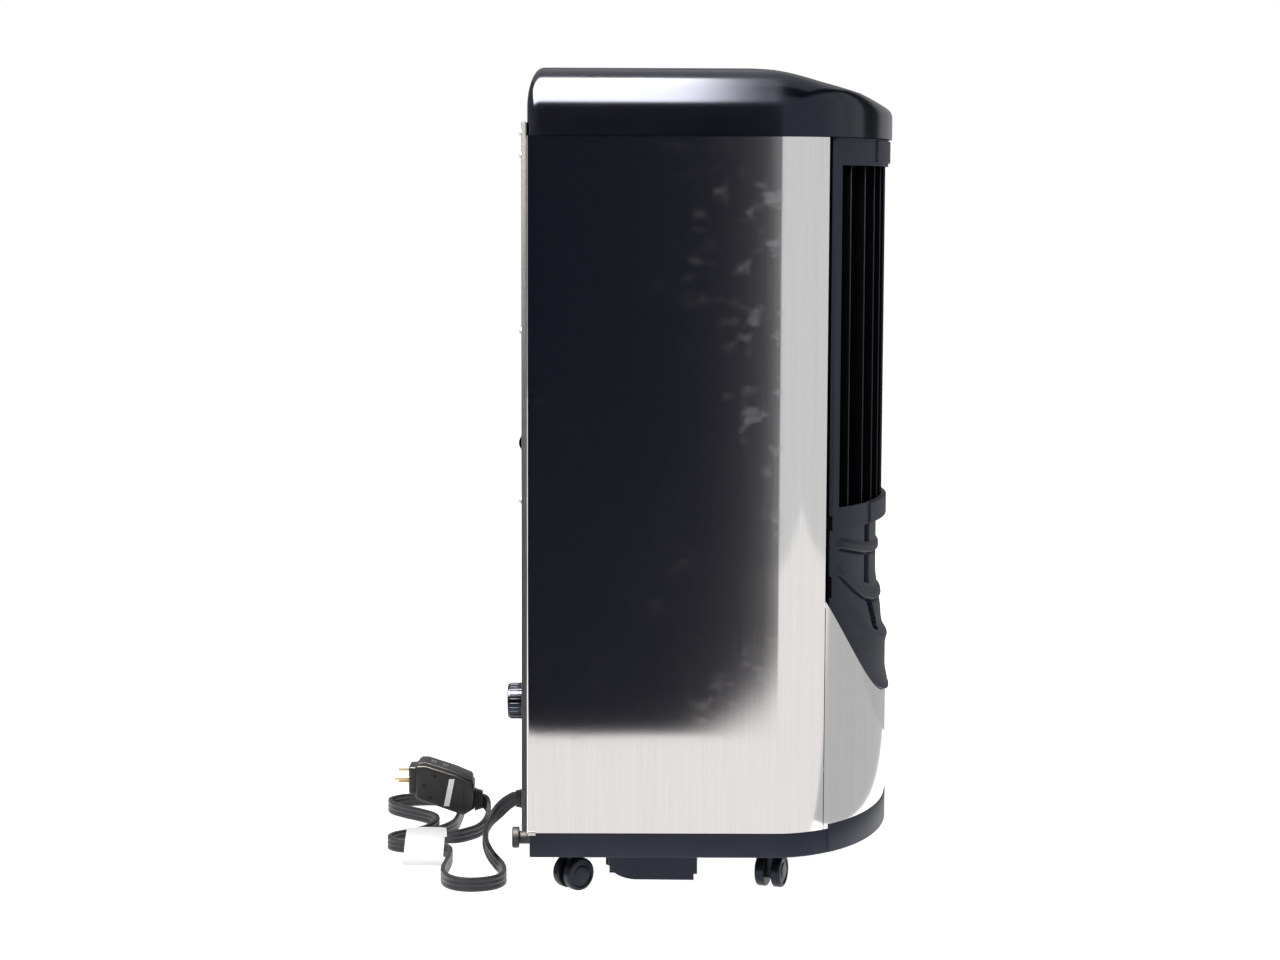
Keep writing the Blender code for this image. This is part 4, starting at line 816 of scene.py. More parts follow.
class UNIT_OT_cord(bpy.types.Operator):
    """Lays the flat cord, with its strain relief, tag and plug."""

    bl_idname = "unit.cord"
    bl_label = "Cord, tag and plug"

    def execute(self, context):
        cord, path = build_cord(sizes())
        plug = self.build_plug()
        tag = self.build_tag()
        self.build_relief()
        return {"FINISHED"}

    @staticmethod
    def build_relief():
        """The flat sleeve that the cord leaves the rear panel through."""
        bm = bmesh.new()
        add_box(bm, (-0.1455, 0.161, 0.0675), (-0.1345, 0.1795, 0.0885), 0.0015)
        for index in range(4):
            start = 0.1800 + index * 0.0018
            narrow = 0.0003 * index
            add_box(bm, (-0.1440 + narrow, start - 0.0012, 0.0690 + narrow),
                    (-0.1360 - narrow, start + 0.0012, 0.0870 - narrow), 0.0004)
        finish_piece(bm, "cord_sleeve", PALETTE.plug, "cabinet", ["cord_bush"])

    @staticmethod
    def build_plug():
        """A moulded safety plug: a deep body, a raised paler cap, a banded nose and three pins."""
        place = Matrix.Translation((PLUG_X, 0, 0)) @ SIDE_TURN
        profile = [(0.2500, 0.0168), (0.3000, 0.0345), (0.3012, 0.0365), (0.3010, 0.0690), (0.2985, 0.0712),
                   (0.2900, 0.0712), (0.2600, 0.0618), (0.2415, 0.0535), (0.2392, 0.0500), (0.2386, 0.0240)]
        bm = bmesh.new()
        add_prism(bm, profile, -PLUG_HALF, PLUG_HALF)
        bmesh.ops.transform(bm, matrix=place, verts=bm.verts)
        bmesh.ops.recalc_face_normals(bm, faces=bm.faces)
        round_edges(bm, sharp_edges(bm, 60), 0.0028, 4)
        body = finish_piece(bm, "plug_case", PALETTE.plug, "cabinet", ["plug_body"])
        recess = bmesh.new()
        for y, z, radius in ((0.2800, 0.0600, 0.0014), (0.2915, 0.0500, 0.0020), (0.2850, 0.0365, 0.0016)):
            add_rod(recess, "X", (PLUG_X - PLUG_HALF, y, z), radius, PLUG_X - PLUG_HALF - 0.01,
                    PLUG_X - PLUG_HALF + 0.0022, 20)
        add_box(recess, (PLUG_X - PLUG_HALF - 0.01, 0.2470, 0.0230), (PLUG_X - PLUG_HALF + 0.0008, 0.2500, 0.0500))
        carve(body, recess)
        bm = bmesh.new()
        cap = [(0.2405, 0.0540), (0.2425, 0.0575), (0.2600, 0.0650), (0.2890, 0.0742), (0.2955, 0.0742),
               (0.2990, 0.0718), (0.2985, 0.0700), (0.2900, 0.0700), (0.2600, 0.0606)]
        add_prism(bm, cap, -PLUG_HALF + 0.0005, PLUG_HALF - 0.0005)
        bmesh.ops.transform(bm, matrix=place, verts=bm.verts)
        bmesh.ops.recalc_face_normals(bm, faces=bm.faces)
        round_edges(bm, sharp_edges(bm, 50), 0.0010, 3)
        lid = finish_piece(bm, "plug_cap", PALETTE.plug_top, "cabinet")
        slope = math.atan2(0.0745 - 0.0640, 0.2930 - 0.2600)
        turn = Matrix.Translation((PLUG_X, 0.2765, 0.06925)) @ Matrix.Rotation(slope, 4, "X")
        wells = bmesh.new()
        for along in (-0.0065, 0.0065):
            verts = add_box(wells, (-0.0061, along - 0.0041, -0.004), (0.0061, along + 0.0041, 0.01))
            bmesh.ops.transform(wells, matrix=turn, verts=verts)
        carve(lid, wells)
        keys = []
        for name, along in (("test", -0.0065), ("reset", 0.0065)):
            bm = bmesh.new()
            add_box(bm, (-0.0056, along - 0.0036, -0.0024), (0.0056, along + 0.0036, 0.0010), 0.0005)
            bmesh.ops.transform(bm, matrix=turn, verts=bm.verts)
            keys.append(finish_piece(bm, f"plug_{name}_key", PALETTE.key, f"plug_{name}_key",
                                     [f"plug_{name}_button"]))
        bm = bmesh.new()
        add_box(bm, (PLUG_X - 0.015, 0.2990, 0.0390), (PLUG_X + 0.015, 0.3085, 0.0692), 0.0026, 3)
        nose = finish_piece(bm, "plug_nose", PALETTE.plug, "cabinet")
        bands = bmesh.new()
        for z in (0.0440, 0.0500, 0.0560, 0.0620):
            add_box(bands, (PLUG_X - 0.02, 0.3022, z), (PLUG_X - 0.0142, 0.3072, z + 0.0016))
            add_box(bands, (PLUG_X + 0.0142, 0.3022, z), (PLUG_X + 0.02, 0.3072, z + 0.0016))
        carve(nose, bands)
        bm = bmesh.new()
        add_rod(bm, "Y", (PLUG_X - 0.007, 0, 0.0555), 0.0024, 0.3040, 0.3245, 24, 0.0009)
        pin = finish_piece(bm, "plug_round_pin", PALETTE.brass, "cabinet", ["plug_ground_pin"])
        pins = [pin]
        for name, z in (("upper", 0.06185), ("lower", 0.04915)):
            bm = bmesh.new()
            add_box(bm, (PLUG_X + 0.0018, 0.3040, z - 0.00075), (PLUG_X + 0.0082, 0.3205, z + 0.00075), 0.0003)
            pins.append(finish_piece(bm, f"plug_{name}_pin", PALETTE.brass, "cabinet",
                                     [f"plug_blade_{name}"]))
        bm = bmesh.new()
        add_box(bm, (PLUG_X - PLUG_HALF - 0.0002, 0.2622, 0.0272), (PLUG_X - PLUG_HALF + 0.0001, 0.2680, 0.0565))
        shear = Matrix.Identity(4)
        shear[1][2] = -0.20
        middle = Matrix.Translation((0, 0.2652, 0.0420))
        bmesh.ops.transform(bm, matrix=middle @ shear @ middle.inverted(), verts=bm.verts)
        label = finish_piece(bm, "plug_sticker", PALETTE.sticker, "cabinet")
        bm = bmesh.new()
        for index in range(4):
            start = 0.2312 + index * 0.0022
            add_box(bm, (PLUG_X - 0.0048 - index * 0.0006, start - 0.0010, 0.0215 - index * 0.0006),
                    (PLUG_X + 0.0048 + index * 0.0006, start + 0.0010, 0.0405 + index * 0.0006), 0.0005)
        relief = finish_piece(bm, "plug_strain_relief", PALETTE.plug, "cabinet")
        return [body, lid, *keys, nose, *pins, label, relief]

    @staticmethod
    def build_tag():
        """A folded white tag round the cord, one end on the floor."""
        bm = bmesh.new()
        layer = bm.loops.layers.uv.new("tag")
        columns, rows = 20, 14
        bmesh.ops.create_grid(bm, x_segments=columns, y_segments=rows, size=0.5)
        for vert in bm.verts:
            along, up = vert.co.x + 0.5, vert.co.y + 0.5
            y = 0.3030 - along * 0.0400 - 0.0012 * up
            drop = 1 - up
            x = -0.0410 - 0.0650 * drop
            z = 0.0012 + 0.0270 * smoothstep(1.0, 0.10, drop) - 0.0120 * smoothstep(0.12, 0.0, drop)
            z += 0.0008 * math.sin(along * 3.1) * up - 0.0004 * math.sin(drop * 9)
            vert.co = (x, y, max(z, 0.0008))
        for face in bm.faces:
            for loop in face.loops:
                place = loop.vert.co
                loop[layer].uv = ((0.3030 - place.y) / 0.0400, (place.x + 0.1060) / 0.0650)
        bmesh.ops.solidify(bm, geom=bm.faces[:], thickness=0.0004)
        return [finish_piece(bm, "cord_tag_film", PALETTE.paper, "cabinet", ["cord_tag"])]


# ---- Steel ----
def trim_edge_z(x):
    """The V-like lower edge of the front trim."""
    return 0.1745 + (0.2865 - 0.1745) * (abs(x) / SEAM_X) ** 3.5


class UNIT_OT_steel(bpy.types.Operator):
    """Folds the two steel sides and the lower front panel."""

    bl_idname = "unit.steel"
    bl_label = "Steel panels"

    def execute(self, context):
        fold = 0.0022
        for side, label in ((-1, "left"), (1, "right")):
            outline = [(HALF_WIDTH - 0.014, REAR_Y), (HALF_WIDTH - 0.008, REAR_Y)]
            for step in range(9):
                angle = math.radians(90 - 90 * step / 8)
                outline.append((HALF_WIDTH - fold + fold * math.cos(angle), REAR_Y - fold + fold * math.sin(angle)))
            flat = [REAR_Y - fold - (REAR_Y - fold - CURVE_Y) * step / 16 for step in range(1, 16)]
            outline += [(HALF_WIDTH, y) for y in flat] + nose_points(0.0, HALF_WIDTH, SEAM_X + GAP, 40)
            outline = [(side * x, y) for x, y in outline]
            strip_piece(f"side_sheet_{label}", outline, lambda x: BASE_TOP + GAP, lambda x: PANEL_TOP - GAP, 12,
                        PALETTE.steel, [f"side_panel_{label}"])
            bm = bmesh.new()
            add_box(bm, (side * HALF_WIDTH - 0.0006, REAR_Y - 0.0085, 0.0588),
                    (side * HALF_WIDTH + 0.0006, REAR_Y - 0.0012, BASE_TOP + 0.0020), 0.0003)
            finish_piece(bm, f"side_tab_{label}", PALETTE.zinc, "cabinet")
        outline = nose_points(0.0, SEAM_X - GAP, -SEAM_X + GAP, 110)
        strip_piece("lower_front_sheet", outline, lambda x: BASE_TOP + GAP, lambda x: trim_edge_z(x) - 0.0010, 10,
                    PALETTE.steel, ["lower_front_panel"])
        return {"FINISHED"}


# ---- Plastic front ----
def rib(z, crest, height):
    """A rib's section: a soft shoulder, a flat band and a groove under its crest."""
    band = smoothstep(crest - 0.0009, crest + 0.0009, z) * smoothstep(crest + 0.0104, crest + 0.0062, z)
    groove = smoothstep(crest - 0.0036, crest - 0.0020, z) * smoothstep(crest - 0.0004, crest - 0.0016, z)
    return height * band - 0.0022 * groove


def trim_inset(x, z):
    """How far the trim's face lies inside the cabinet's outline."""
    reach = abs(x)
    out = min(reach / 0.2, 1.0)
    centre = 0.0118 - 0.0062 * smoothstep(0.300, 0.246, z) - 0.0048 * smoothstep(0.250, 0.222, z)
    centre -= 0.0030 * smoothstep(0.198, 0.176, z)
    face = centre * (1 - out**3) + 0.0038 * out**3
    first = 0.3175 + 0.0188 * (reach / 0.1881) ** 2.6
    second = 0.2700 + 0.0433 * (reach / 0.1883) ** 4.0
    third = 0.2290 + 0.0496 * (reach / 0.1712) ** 3.16
    face -= rib(z, first, 0.0026) * smoothstep(0.1895, 0.178, reach)
    face -= rib(z, second, 0.0026) * smoothstep(0.1895, 0.176, reach)
    face -= 0.0026 * math.exp(-(((z - third) / 0.0050) ** 2)) * smoothstep(0.1780, 0.110, reach)
    slant = 0.1040 + (z - 0.2416) * 0.55
    column = smoothstep(0.1050, 0.1062, reach) * smoothstep(0.1252, 0.1240, reach)
    cuts = (
        column * smoothstep(first + 0.0098, first + 0.0108, z) * smoothstep(0.3523, 0.3512, z),
        column * smoothstep(second + 0.0150, second + 0.0160, z) * smoothstep(first - 0.0030, first - 0.0040, z),
        smoothstep(slant - 0.019, slant - 0.018, reach) * smoothstep(slant + 0.0005, slant - 0.0005, reach)
        * smoothstep(third + 0.0050, third + 0.0062, z) * smoothstep(second - 0.0014, second - 0.0026, z),
    )
    lip = smoothstep(trim_edge_z(x) + 0.0040, trim_edge_z(x) + 0.0010, z)
    return face + 0.0095 * max(cuts) - 0.0012 * lip


class UNIT_OT_trim(bpy.types.Operator):
    """Presses the ribbed trim below the grille."""

    bl_idname = "unit.trim"
    bl_label = "Front trim"

    def execute(self, context):
        columns, rows = 280, 160
        bm = bmesh.new()
        bmesh.ops.create_grid(bm, x_segments=columns, y_segments=rows, size=0.5)
        edge_x = 0.1952
        turn = math.acos((edge_x / HALF_WIDTH) ** (NOSE_POWER / 2))
        for vert in bm.verts:
            phase = turn + (math.pi - 2 * turn) * (0.5 - vert.co.x)
            x = math.copysign(abs(math.cos(phase)) ** (2 / NOSE_POWER), math.cos(phase)) * HALF_WIDTH
            low = trim_edge_z(x) + GAP
            z = low + (TRIM_TOP - low) * (vert.co.y + 0.5)
            inset = trim_inset(x, z)
            x *= (HALF_WIDTH - inset) / HALF_WIDTH
            vert.co = (x, nose_y(x, inset), z)
        bm.normal_update()
        if sum(f.normal.y for f in bm.faces) > 0:
            bmesh.ops.reverse_faces(bm, faces=bm.faces)
        bmesh.ops.solidify(bm, geom=bm.faces[:], thickness=0.0022)
        finish_piece(bm, "ribbed_trim", PALETTE.charcoal, "cabinet", ["front_trim"], smooth=60,
                     recalc=False)
        # The clips take the near-black inner finish, which is painted shade.
        bm = bmesh.new()
        for side in (-1, 1):
            x = side * 0.1940
            add_box(bm, (x - 0.0022, nose_y(x) + 0.0012, 0.2881), (x + 0.0022, nose_y(x) + 0.0060, 0.3086), 0.0005)
        finish_piece(bm, "trim_clips", PALETTE.inner, "cabinet")
        return {"FINISHED"}


def band_outline(inset, thickness, half_x, count=72):
    """A band of the curved front between two insets, out to half_x on both sides."""
    outer = nose_points(inset, half_x, -half_x, count)
    inner = nose_points(inset + thickness, half_x, -half_x, count)
    return outer + inner[::-1]


class UNIT_OT_grille(bpy.types.Operator):
    """Moulds the front grille with its upright ribs and raised middle bands."""

    bl_idname = "unit.grille"
    bl_label = "Front grille"

    def execute(self, context):
        edge_x = 0.1892
        bm = bmesh.new()
        add_prism(bm, band_outline(0.0036, 0.003, edge_x), TRIM_TOP + GAP, PANEL_TOP - GAP)
        grille = finish_piece(bm, "grille_frame", PALETTE.charcoal, "cabinet", ["front_grille"])
        window = bmesh.new()
        add_box(window, (-WINDOW_X, -0.3, WINDOW_LOW), (WINDOW_X, 0.0, WINDOW_HIGH))
        soften(carve(grille, window), 0.0005)
        bm = bmesh.new()
        add_prism(bm, band_outline(0.0016, 0.0022, 0.1167, 48), 0.7078, PANEL_TOP - 0.0016)
        add_prism(bm, band_outline(0.0016, 0.0022, 0.1265, 48), TRIM_TOP + 0.0006, 0.3732)
        soften(finish_piece(bm, "grille_bands", PALETTE.charcoal, "cabinet"), 0.0008, 3)
        # Each rib is made of two parts: a thin front edge in the charcoal plastic that catches the light, and a body
        # behind it in the near-black inner finish. The body's darkness is painted shade on the rib sides.
        bm, edges = bmesh.new(), bmesh.new()
        pitch, width = sizes().rib_pitch, sizes().rib_width
        for index in range(-6, 7):
            x = index * pitch
            lean = math.atan((nose_y(x + 1e-4, 0.0066) - nose_y(x - 1e-4, 0.0066)) / 2e-4)
            turn = Matrix.Translation((x, nose_y(x, 0.0066), 0)) @ Matrix.Rotation(lean * 0.5, 4, "Z")
            for mesh, near, deep, half in ((bm, 0.0008, 0.0100, width / 2), (edges, 0, 0.0012, width / 2 - 0.0005)):
                start = set(mesh.verts)
                add_box(mesh, (-half, near, WINDOW_LOW - 0.003), (half, deep, WINDOW_HIGH + 0.003), 0.0004)
                bmesh.ops.transform(mesh, matrix=turn, verts=[v for v in mesh.verts if v not in start])
        finish_piece(bm, "grille_ribs", PALETTE.inner, "cabinet")
        finish_piece(edges, "grille_rib_edges", PALETTE.charcoal, "cabinet")
        # Near-black strips deep behind the seams beside the grille, in the inner finish: painted shade in the gaps.
        bm = bmesh.new()
        for side in (-1, 1):
            ends = sorted((side * (edge_x - 0.003), side * (SEAM_X + 0.004)), key=abs)
            line = nose_points(0.0085, ends[0], ends[1], 6)
            back = nose_points(0.0100, ends[0], ends[1], 6)
            add_prism(bm, line + back[::-1], 0.289, PANEL_TOP - GAP)
            ends = sorted((side * (edge_x + 0.0002), side * (SEAM_X + 0.003)), key=abs)
            line = nose_points(0.0040, ends[0], ends[1], 6)
            back = nose_points(0.0048, ends[0], ends[1], 6)
            add_prism(bm, line + back[::-1], TRIM_TOP + 0.0006, TRIM_TOP + 0.0140)
        finish_piece(bm, "seam_backing_painted_shade", PALETTE.inner, "cabinet")
        return {"FINISHED"}


# ---- Top cover ----
def cover_ring(inset_side, inset_rear):
    """The cover's outline, drawn in at its sides and at its rear; the points start at the right rear corner."""
    half = HALF_WIDTH - inset_side
    rear = REAR_Y - inset_rear
    corner = max(0.004, 0.014 - inset_rear)
    turn = [math.radians(90 * step / 8) for step in range(9)]
    right = [(half - corner + corner * math.cos(a), rear - corner + corner * math.sin(a)) for a in turn]
    left = [(-x, y) for x, y in right[::-1]]
    front_y, rear_y = CURVE_Y + 0.006, rear - corner
    sides = [front_y + (rear_y - front_y) * step / 26 for step in range(26)]
    return (right + left + [(-half, y) for y in sides[::-1]] + nose_points(inset_side, -half, half, 96)
            + [(half, y) for y in sides])


def cover_height(height, y):
    """Height of the rolled edge, blended into the sloping top."""
    forward = min(max((SLOPE_START_Y - y) / 0.05, 0.0), 1.0)
    blend = 0.006 * forward + 0.010 * smoothstep(-0.140, -0.180, y)
    gap = height - slope_z(y)
    return (height + slope_z(y) - math.sqrt(gap * gap + blend * blend)) / 2


class UNIT_OT_cover(bpy.types.Operator):
    """Rolls the top cover over the cabinet, with its opening for the controls."""

    bl_idname = "unit.cover"
    bl_label = "Top cover"

    def execute(self, context):
        bm = bmesh.new()
        steps = 20
        stages = [(0.0, 0.0, PANEL_TOP + GAP), (0.0, 0.0, PANEL_TOP + 0.012)]
        roll = sizes().cover_roll
        for step in range(steps + 1):
            angle = math.radians(90 * step / steps)
            share = 1 - math.cos(angle)
            stages.append((roll * share, 0.016 * share, PANEL_TOP + COVER_STRAIGHT + ROLL_HEIGHT * math.sin(angle)))
        line, edges = None, None
        for side, rear, height in stages:
            outline = cover_ring(side, rear)
            if line is None:
                line = [bm.verts.new((x, y, height)) for x, y in outline]
                edges = [bm.edges.new(pair) for pair in zip(line, line[1:] + line[:1])]
                continue
            line, edges = extrude_line(bm, line, edges)
            for vert, (x, y) in zip(line, outline):
                vert.co = (x, y, cover_height(height, y))
        count = len(line)
        pairs = [(line[8 - k], line[9 + k]) for k in range(count // 2)]
        for (right, left), (next_right, next_left) in zip(pairs, pairs[1:]):
            bm.faces.new((right, left, next_left, next_right))
        bm.faces.new((*pairs[-1], line[9 + len(pairs)]))
        bmesh.ops.recalc_face_normals(bm, faces=bm.faces)
        bmesh.ops.solidify(bm, geom=bm.faces[:], thickness=0.003)
        cover = finish_piece(bm, "rolled_cover", PALETTE.cover, "cabinet", ["top_cover"], smooth=30)
        opening = bmesh.new()
        add_box(opening, (-0.115, -0.034, -0.02), (0.115, 0.034, 0.02))
        bmesh.ops.transform(opening, matrix=SLOPE_PLACE, verts=opening.verts)
        carve(cover, opening)
        return {"FINISHED"}


class UNIT_OT_controls(bpy.types.Operator):
    """Sets the control panel, its lens and its keys into the slope."""

    bl_idname = "unit.controls"
    bl_label = "Controls"

    def execute(self, context):
        names = ("power", "mode", "fan_speed", "timer", "warmer", "cooler")
        places = (-0.090, -0.054, -0.018, 0.018, 0.054, 0.090)
        bm = bmesh.new()
        add_box(bm, (-0.1146, -0.0336, -0.003), (0.1146, 0.0336, 0.0006), 0.0005)
        bmesh.ops.transform(bm, matrix=SLOPE_PLACE, verts=bm.verts)
        plate = finish_piece(bm, "control_fascia", PALETTE.charcoal, "cabinet", ["control_panel"])
        holes = bmesh.new()
        for x in places:
            add_rod(holes, "Z", (x, -0.014, 0), 0.0078, -0.02, 0.02, 48)
        add_box(holes, (-0.046, 0.005, -0.02), (0.046, 0.023, 0.02))
        bmesh.ops.transform(holes, matrix=SLOPE_PLACE, verts=holes.verts)
        soften(carve(plate, holes), 0.0003)
        bm = bmesh.new()
        add_box(bm, (-0.0457, 0.0053, -0.0025), (0.0457, 0.0227, 0.0008), 0.0004)
        bmesh.ops.transform(bm, matrix=SLOPE_PLACE, verts=bm.verts)
        finish_piece(bm, "display_window", PALETTE.lens, "cabinet", ["display_lens"])
        for name, x in zip(names, places):
            bm = bmesh.new()
            add_rod(bm, "Z", (x, -0.014, 0), 0.0075, -0.008, 0.0020, 48, 0.0007)
            bmesh.ops.transform(bm, matrix=SLOPE_PLACE, verts=bm.verts)
            finish_piece(bm, f"key_cap_{name}", PALETTE.key, f"key_{name}", [f"button_{name}"])
        bm = bmesh.new()
        for x in places:
            add_turned(bm, [(0.0084, 0.0005), (0.0092, 0.0005), (0.0091, 0.0009), (0.0085, 0.0009)], "Z",
                       (x, -0.014, 0), 48)
        bmesh.ops.transform(bm, matrix=SLOPE_PLACE, verts=bm.verts)
        finish_piece(bm, "key_rings", PALETTE.rear, "cabinet")
        return {"FINISHED"}


# ---- Base and casters ----
CASTERS = {
    "rear_left": (-0.186, 0.1215, 40),
    "rear_right": (0.186, 0.1215, -25),
    "front_left": (-0.172, -0.0690, 70),
    "front_right": (0.172, -0.0690, 15),
}


class UNIT_OT_base(bpy.types.Operator):
    """Moulds the base pan and the drain sump under it."""

    bl_idname = "unit.base"
    bl_label = "Base and sump"

    def execute(self, context):
        inset = 0.0006
        half = HALF_WIDTH - inset
        outline = [(half, 0.1705)] + nose_points(inset, half, -half, 90) + [(-half, 0.1705)]
        bm = bmesh.new()
        add_prism(bm, outline, BASE_BOTTOM, BASE_TOP)
        bmesh.ops.recalc_face_normals(bm, faces=bm.faces)
        rims = [e for e in bm.edges if len(e.link_faces) == 2 and e.calc_face_angle(0) > 0.9]
        round_edges(bm, rims, 0.0014, 3)
        base = finish_piece(bm, "base_tray", PALETTE.charcoal, "cabinet", ["base_pan"])
        pocket = bmesh.new()
        inner = nose_points(0.010, 0.21, -0.21, 60)
        add_prism(pocket, [(0.21, 0.156)] + inner + [(-0.21, 0.156)], BASE_BOTTOM + 0.007, BASE_TOP + 0.01)
        carve(base, pocket)
        bm = bmesh.new()
        front = nose_points(-0.0010, 0.1965, -0.1965, 90)
        add_prism(bm, front + nose_points(0.0012, 0.1965, -0.1965, 90)[::-1], BASE_BOTTOM + 0.0006, 0.0655)
        bmesh.ops.recalc_face_normals(bm, faces=bm.faces)
        round_edges(bm, sharp_edges(bm, 60), 0.0005, 2)
        finish_piece(bm, "base_front_rim", PALETTE.charcoal, "cabinet")
        bm = bmesh.new()
        neck = [(0.0045, 0.166), (0.0045, 0.1825), (0.0062, 0.1825), (0.0065, 0.1815), (0.0065, 0.166)]
        add_turned(bm, neck, "Y", LOWER_DRAIN, 36)
        finish_piece(bm, "drain_neck_tube", PALETTE.rear, "cabinet")
        profile = [(0.0969, BASE_BOTTOM - GAP), (0.0969, 0.0174), (0.0886, 0.0174), (0.0860, 0.0158),
                   (0.0830, 0.0142), (0.0795, 0.0129), (0.0760, 0.0119), (0.0722, 0.0112), (0.0683, 0.0108),
                   (0.0109, 0.0104), (0.0109, 0.0164), (0.0076, 0.0164), (0.0076, BASE_BOTTOM - GAP)]
        bm = bmesh.new()
        add_prism(bm, profile, -0.200, 0.200)
        bmesh.ops.transform(bm, matrix=SIDE_TURN, verts=bm.verts)
        sump = finish_piece(bm, "sump_tray", PALETTE.charcoal, "cabinet", ["drain_sump"])
        sweep = bmesh.new()
        for x, y, _ in CASTERS.values():
            add_rod(sweep, "Z", (x, y, 0), 0.0315, -0.01, 0.06, 48)
        soften(carve(sump, sweep), 0.0006)
        return {"FINISHED"}


class UNIT_OT_casters(bpy.types.Operator):
    """Makes the four hooded twin-wheel casters."""

    bl_idname = "unit.casters"
    bl_label = "Casters"

    def execute(self, context):
        for place, (x, y, turn) in CASTERS.items():
            matrix = Matrix.Translation((x, y, 0)) @ Matrix.Rotation(math.radians(turn), 4, "Z")
            self.build_hood(place, matrix)
            self.build_wheels(place, matrix)
        return {"FINISHED"}

    @staticmethod
    def build_hood(place, matrix):
        axle = (0, 0.0090, 0.0162)
        bm = bmesh.new()
        add_rod(bm, "X", axle, 0.0195, -0.0131, 0.0131, 56, 0.0016)
        hood = finish_piece(bm, f"hood_{place}", PALETTE.caster, f"caster_{place}",
                            [f"caster_hood_{place}"])
        cuts = bmesh.new()
        add_rod(cuts, "X", axle, 0.0172, 0.0032, 0.03, 56)
        add_rod(cuts, "X", axle, 0.0172, -0.03, -0.0032, 56)
        carve(hood, cuts)
        below = bmesh.new()
        add_prism(below, [(-0.040, -0.020), (0.060, -0.020), (0.060, 0.0007), (-0.040, 0.0281)], -0.03, 0.03)
        bmesh.ops.transform(below, matrix=SIDE_TURN, verts=below.verts)
        carve(hood, below)
        stem = bmesh.new()
        add_box(stem, (-0.0032, 0.0030, 0.0095), (0.0032, 0.0150, 0.0334))
        add_rod(stem, "Z", (0, 0, 0), 0.0040, 0.0321, 0.0430, 32)
        add_rod(stem, "Z", (0, 0, 0), 0.0085, 0.0330, 0.0364, 40)
        carve(hood, stem, "UNION")
        hood.data.transform(matrix)
        soften(hood, 0.0005)

    @staticmethod
    def build_wheels(place, matrix):
        axle = (0, 0.0090, 0.0162)
        bm = bmesh.new()
        for side in (-1, 1):
            start, end = 0.0036, 0.0131
            tyre = [(0, start), (0.0150, start), (0.0160, start + 0.0008), (0.0162, start + 0.002),
                    (0.0162, end - 0.0026), (0.0158, end - 0.0010), (0.0148, end - 0.0002), (0.0132, end),
                    (0.0122, end - 0.0012), (0.0086, end - 0.0008), (0.0080, end - 0.0001), (0.0068, end + 0.0002),
                    (0, end + 0.0003)]
            add_turned(bm, [(radius, side * height) for radius, height in tyre], "X", axle, 56)
        add_rod(bm, "X", axle, 0.0025, -0.008, 0.008, 24)
        bmesh.ops.transform(bm, matrix=matrix, verts=bm.verts)
        finish_piece(bm, f"twin_wheel_{place}", PALETTE.caster, f"wheels_{place}",
                     [f"caster_wheels_{place}"])


# ---- Rear ----
EXHAUST = (0.055, 0, 0.225)
UPPER_DRAIN = (-0.130, 0, 0.1747)
LOWER_DRAIN = (-0.150, 0, 0.041)
SCREW_X = 0.2035
SCREW_HEIGHTS = (0.219, 0.383, 0.546, 0.7126, 0.734)


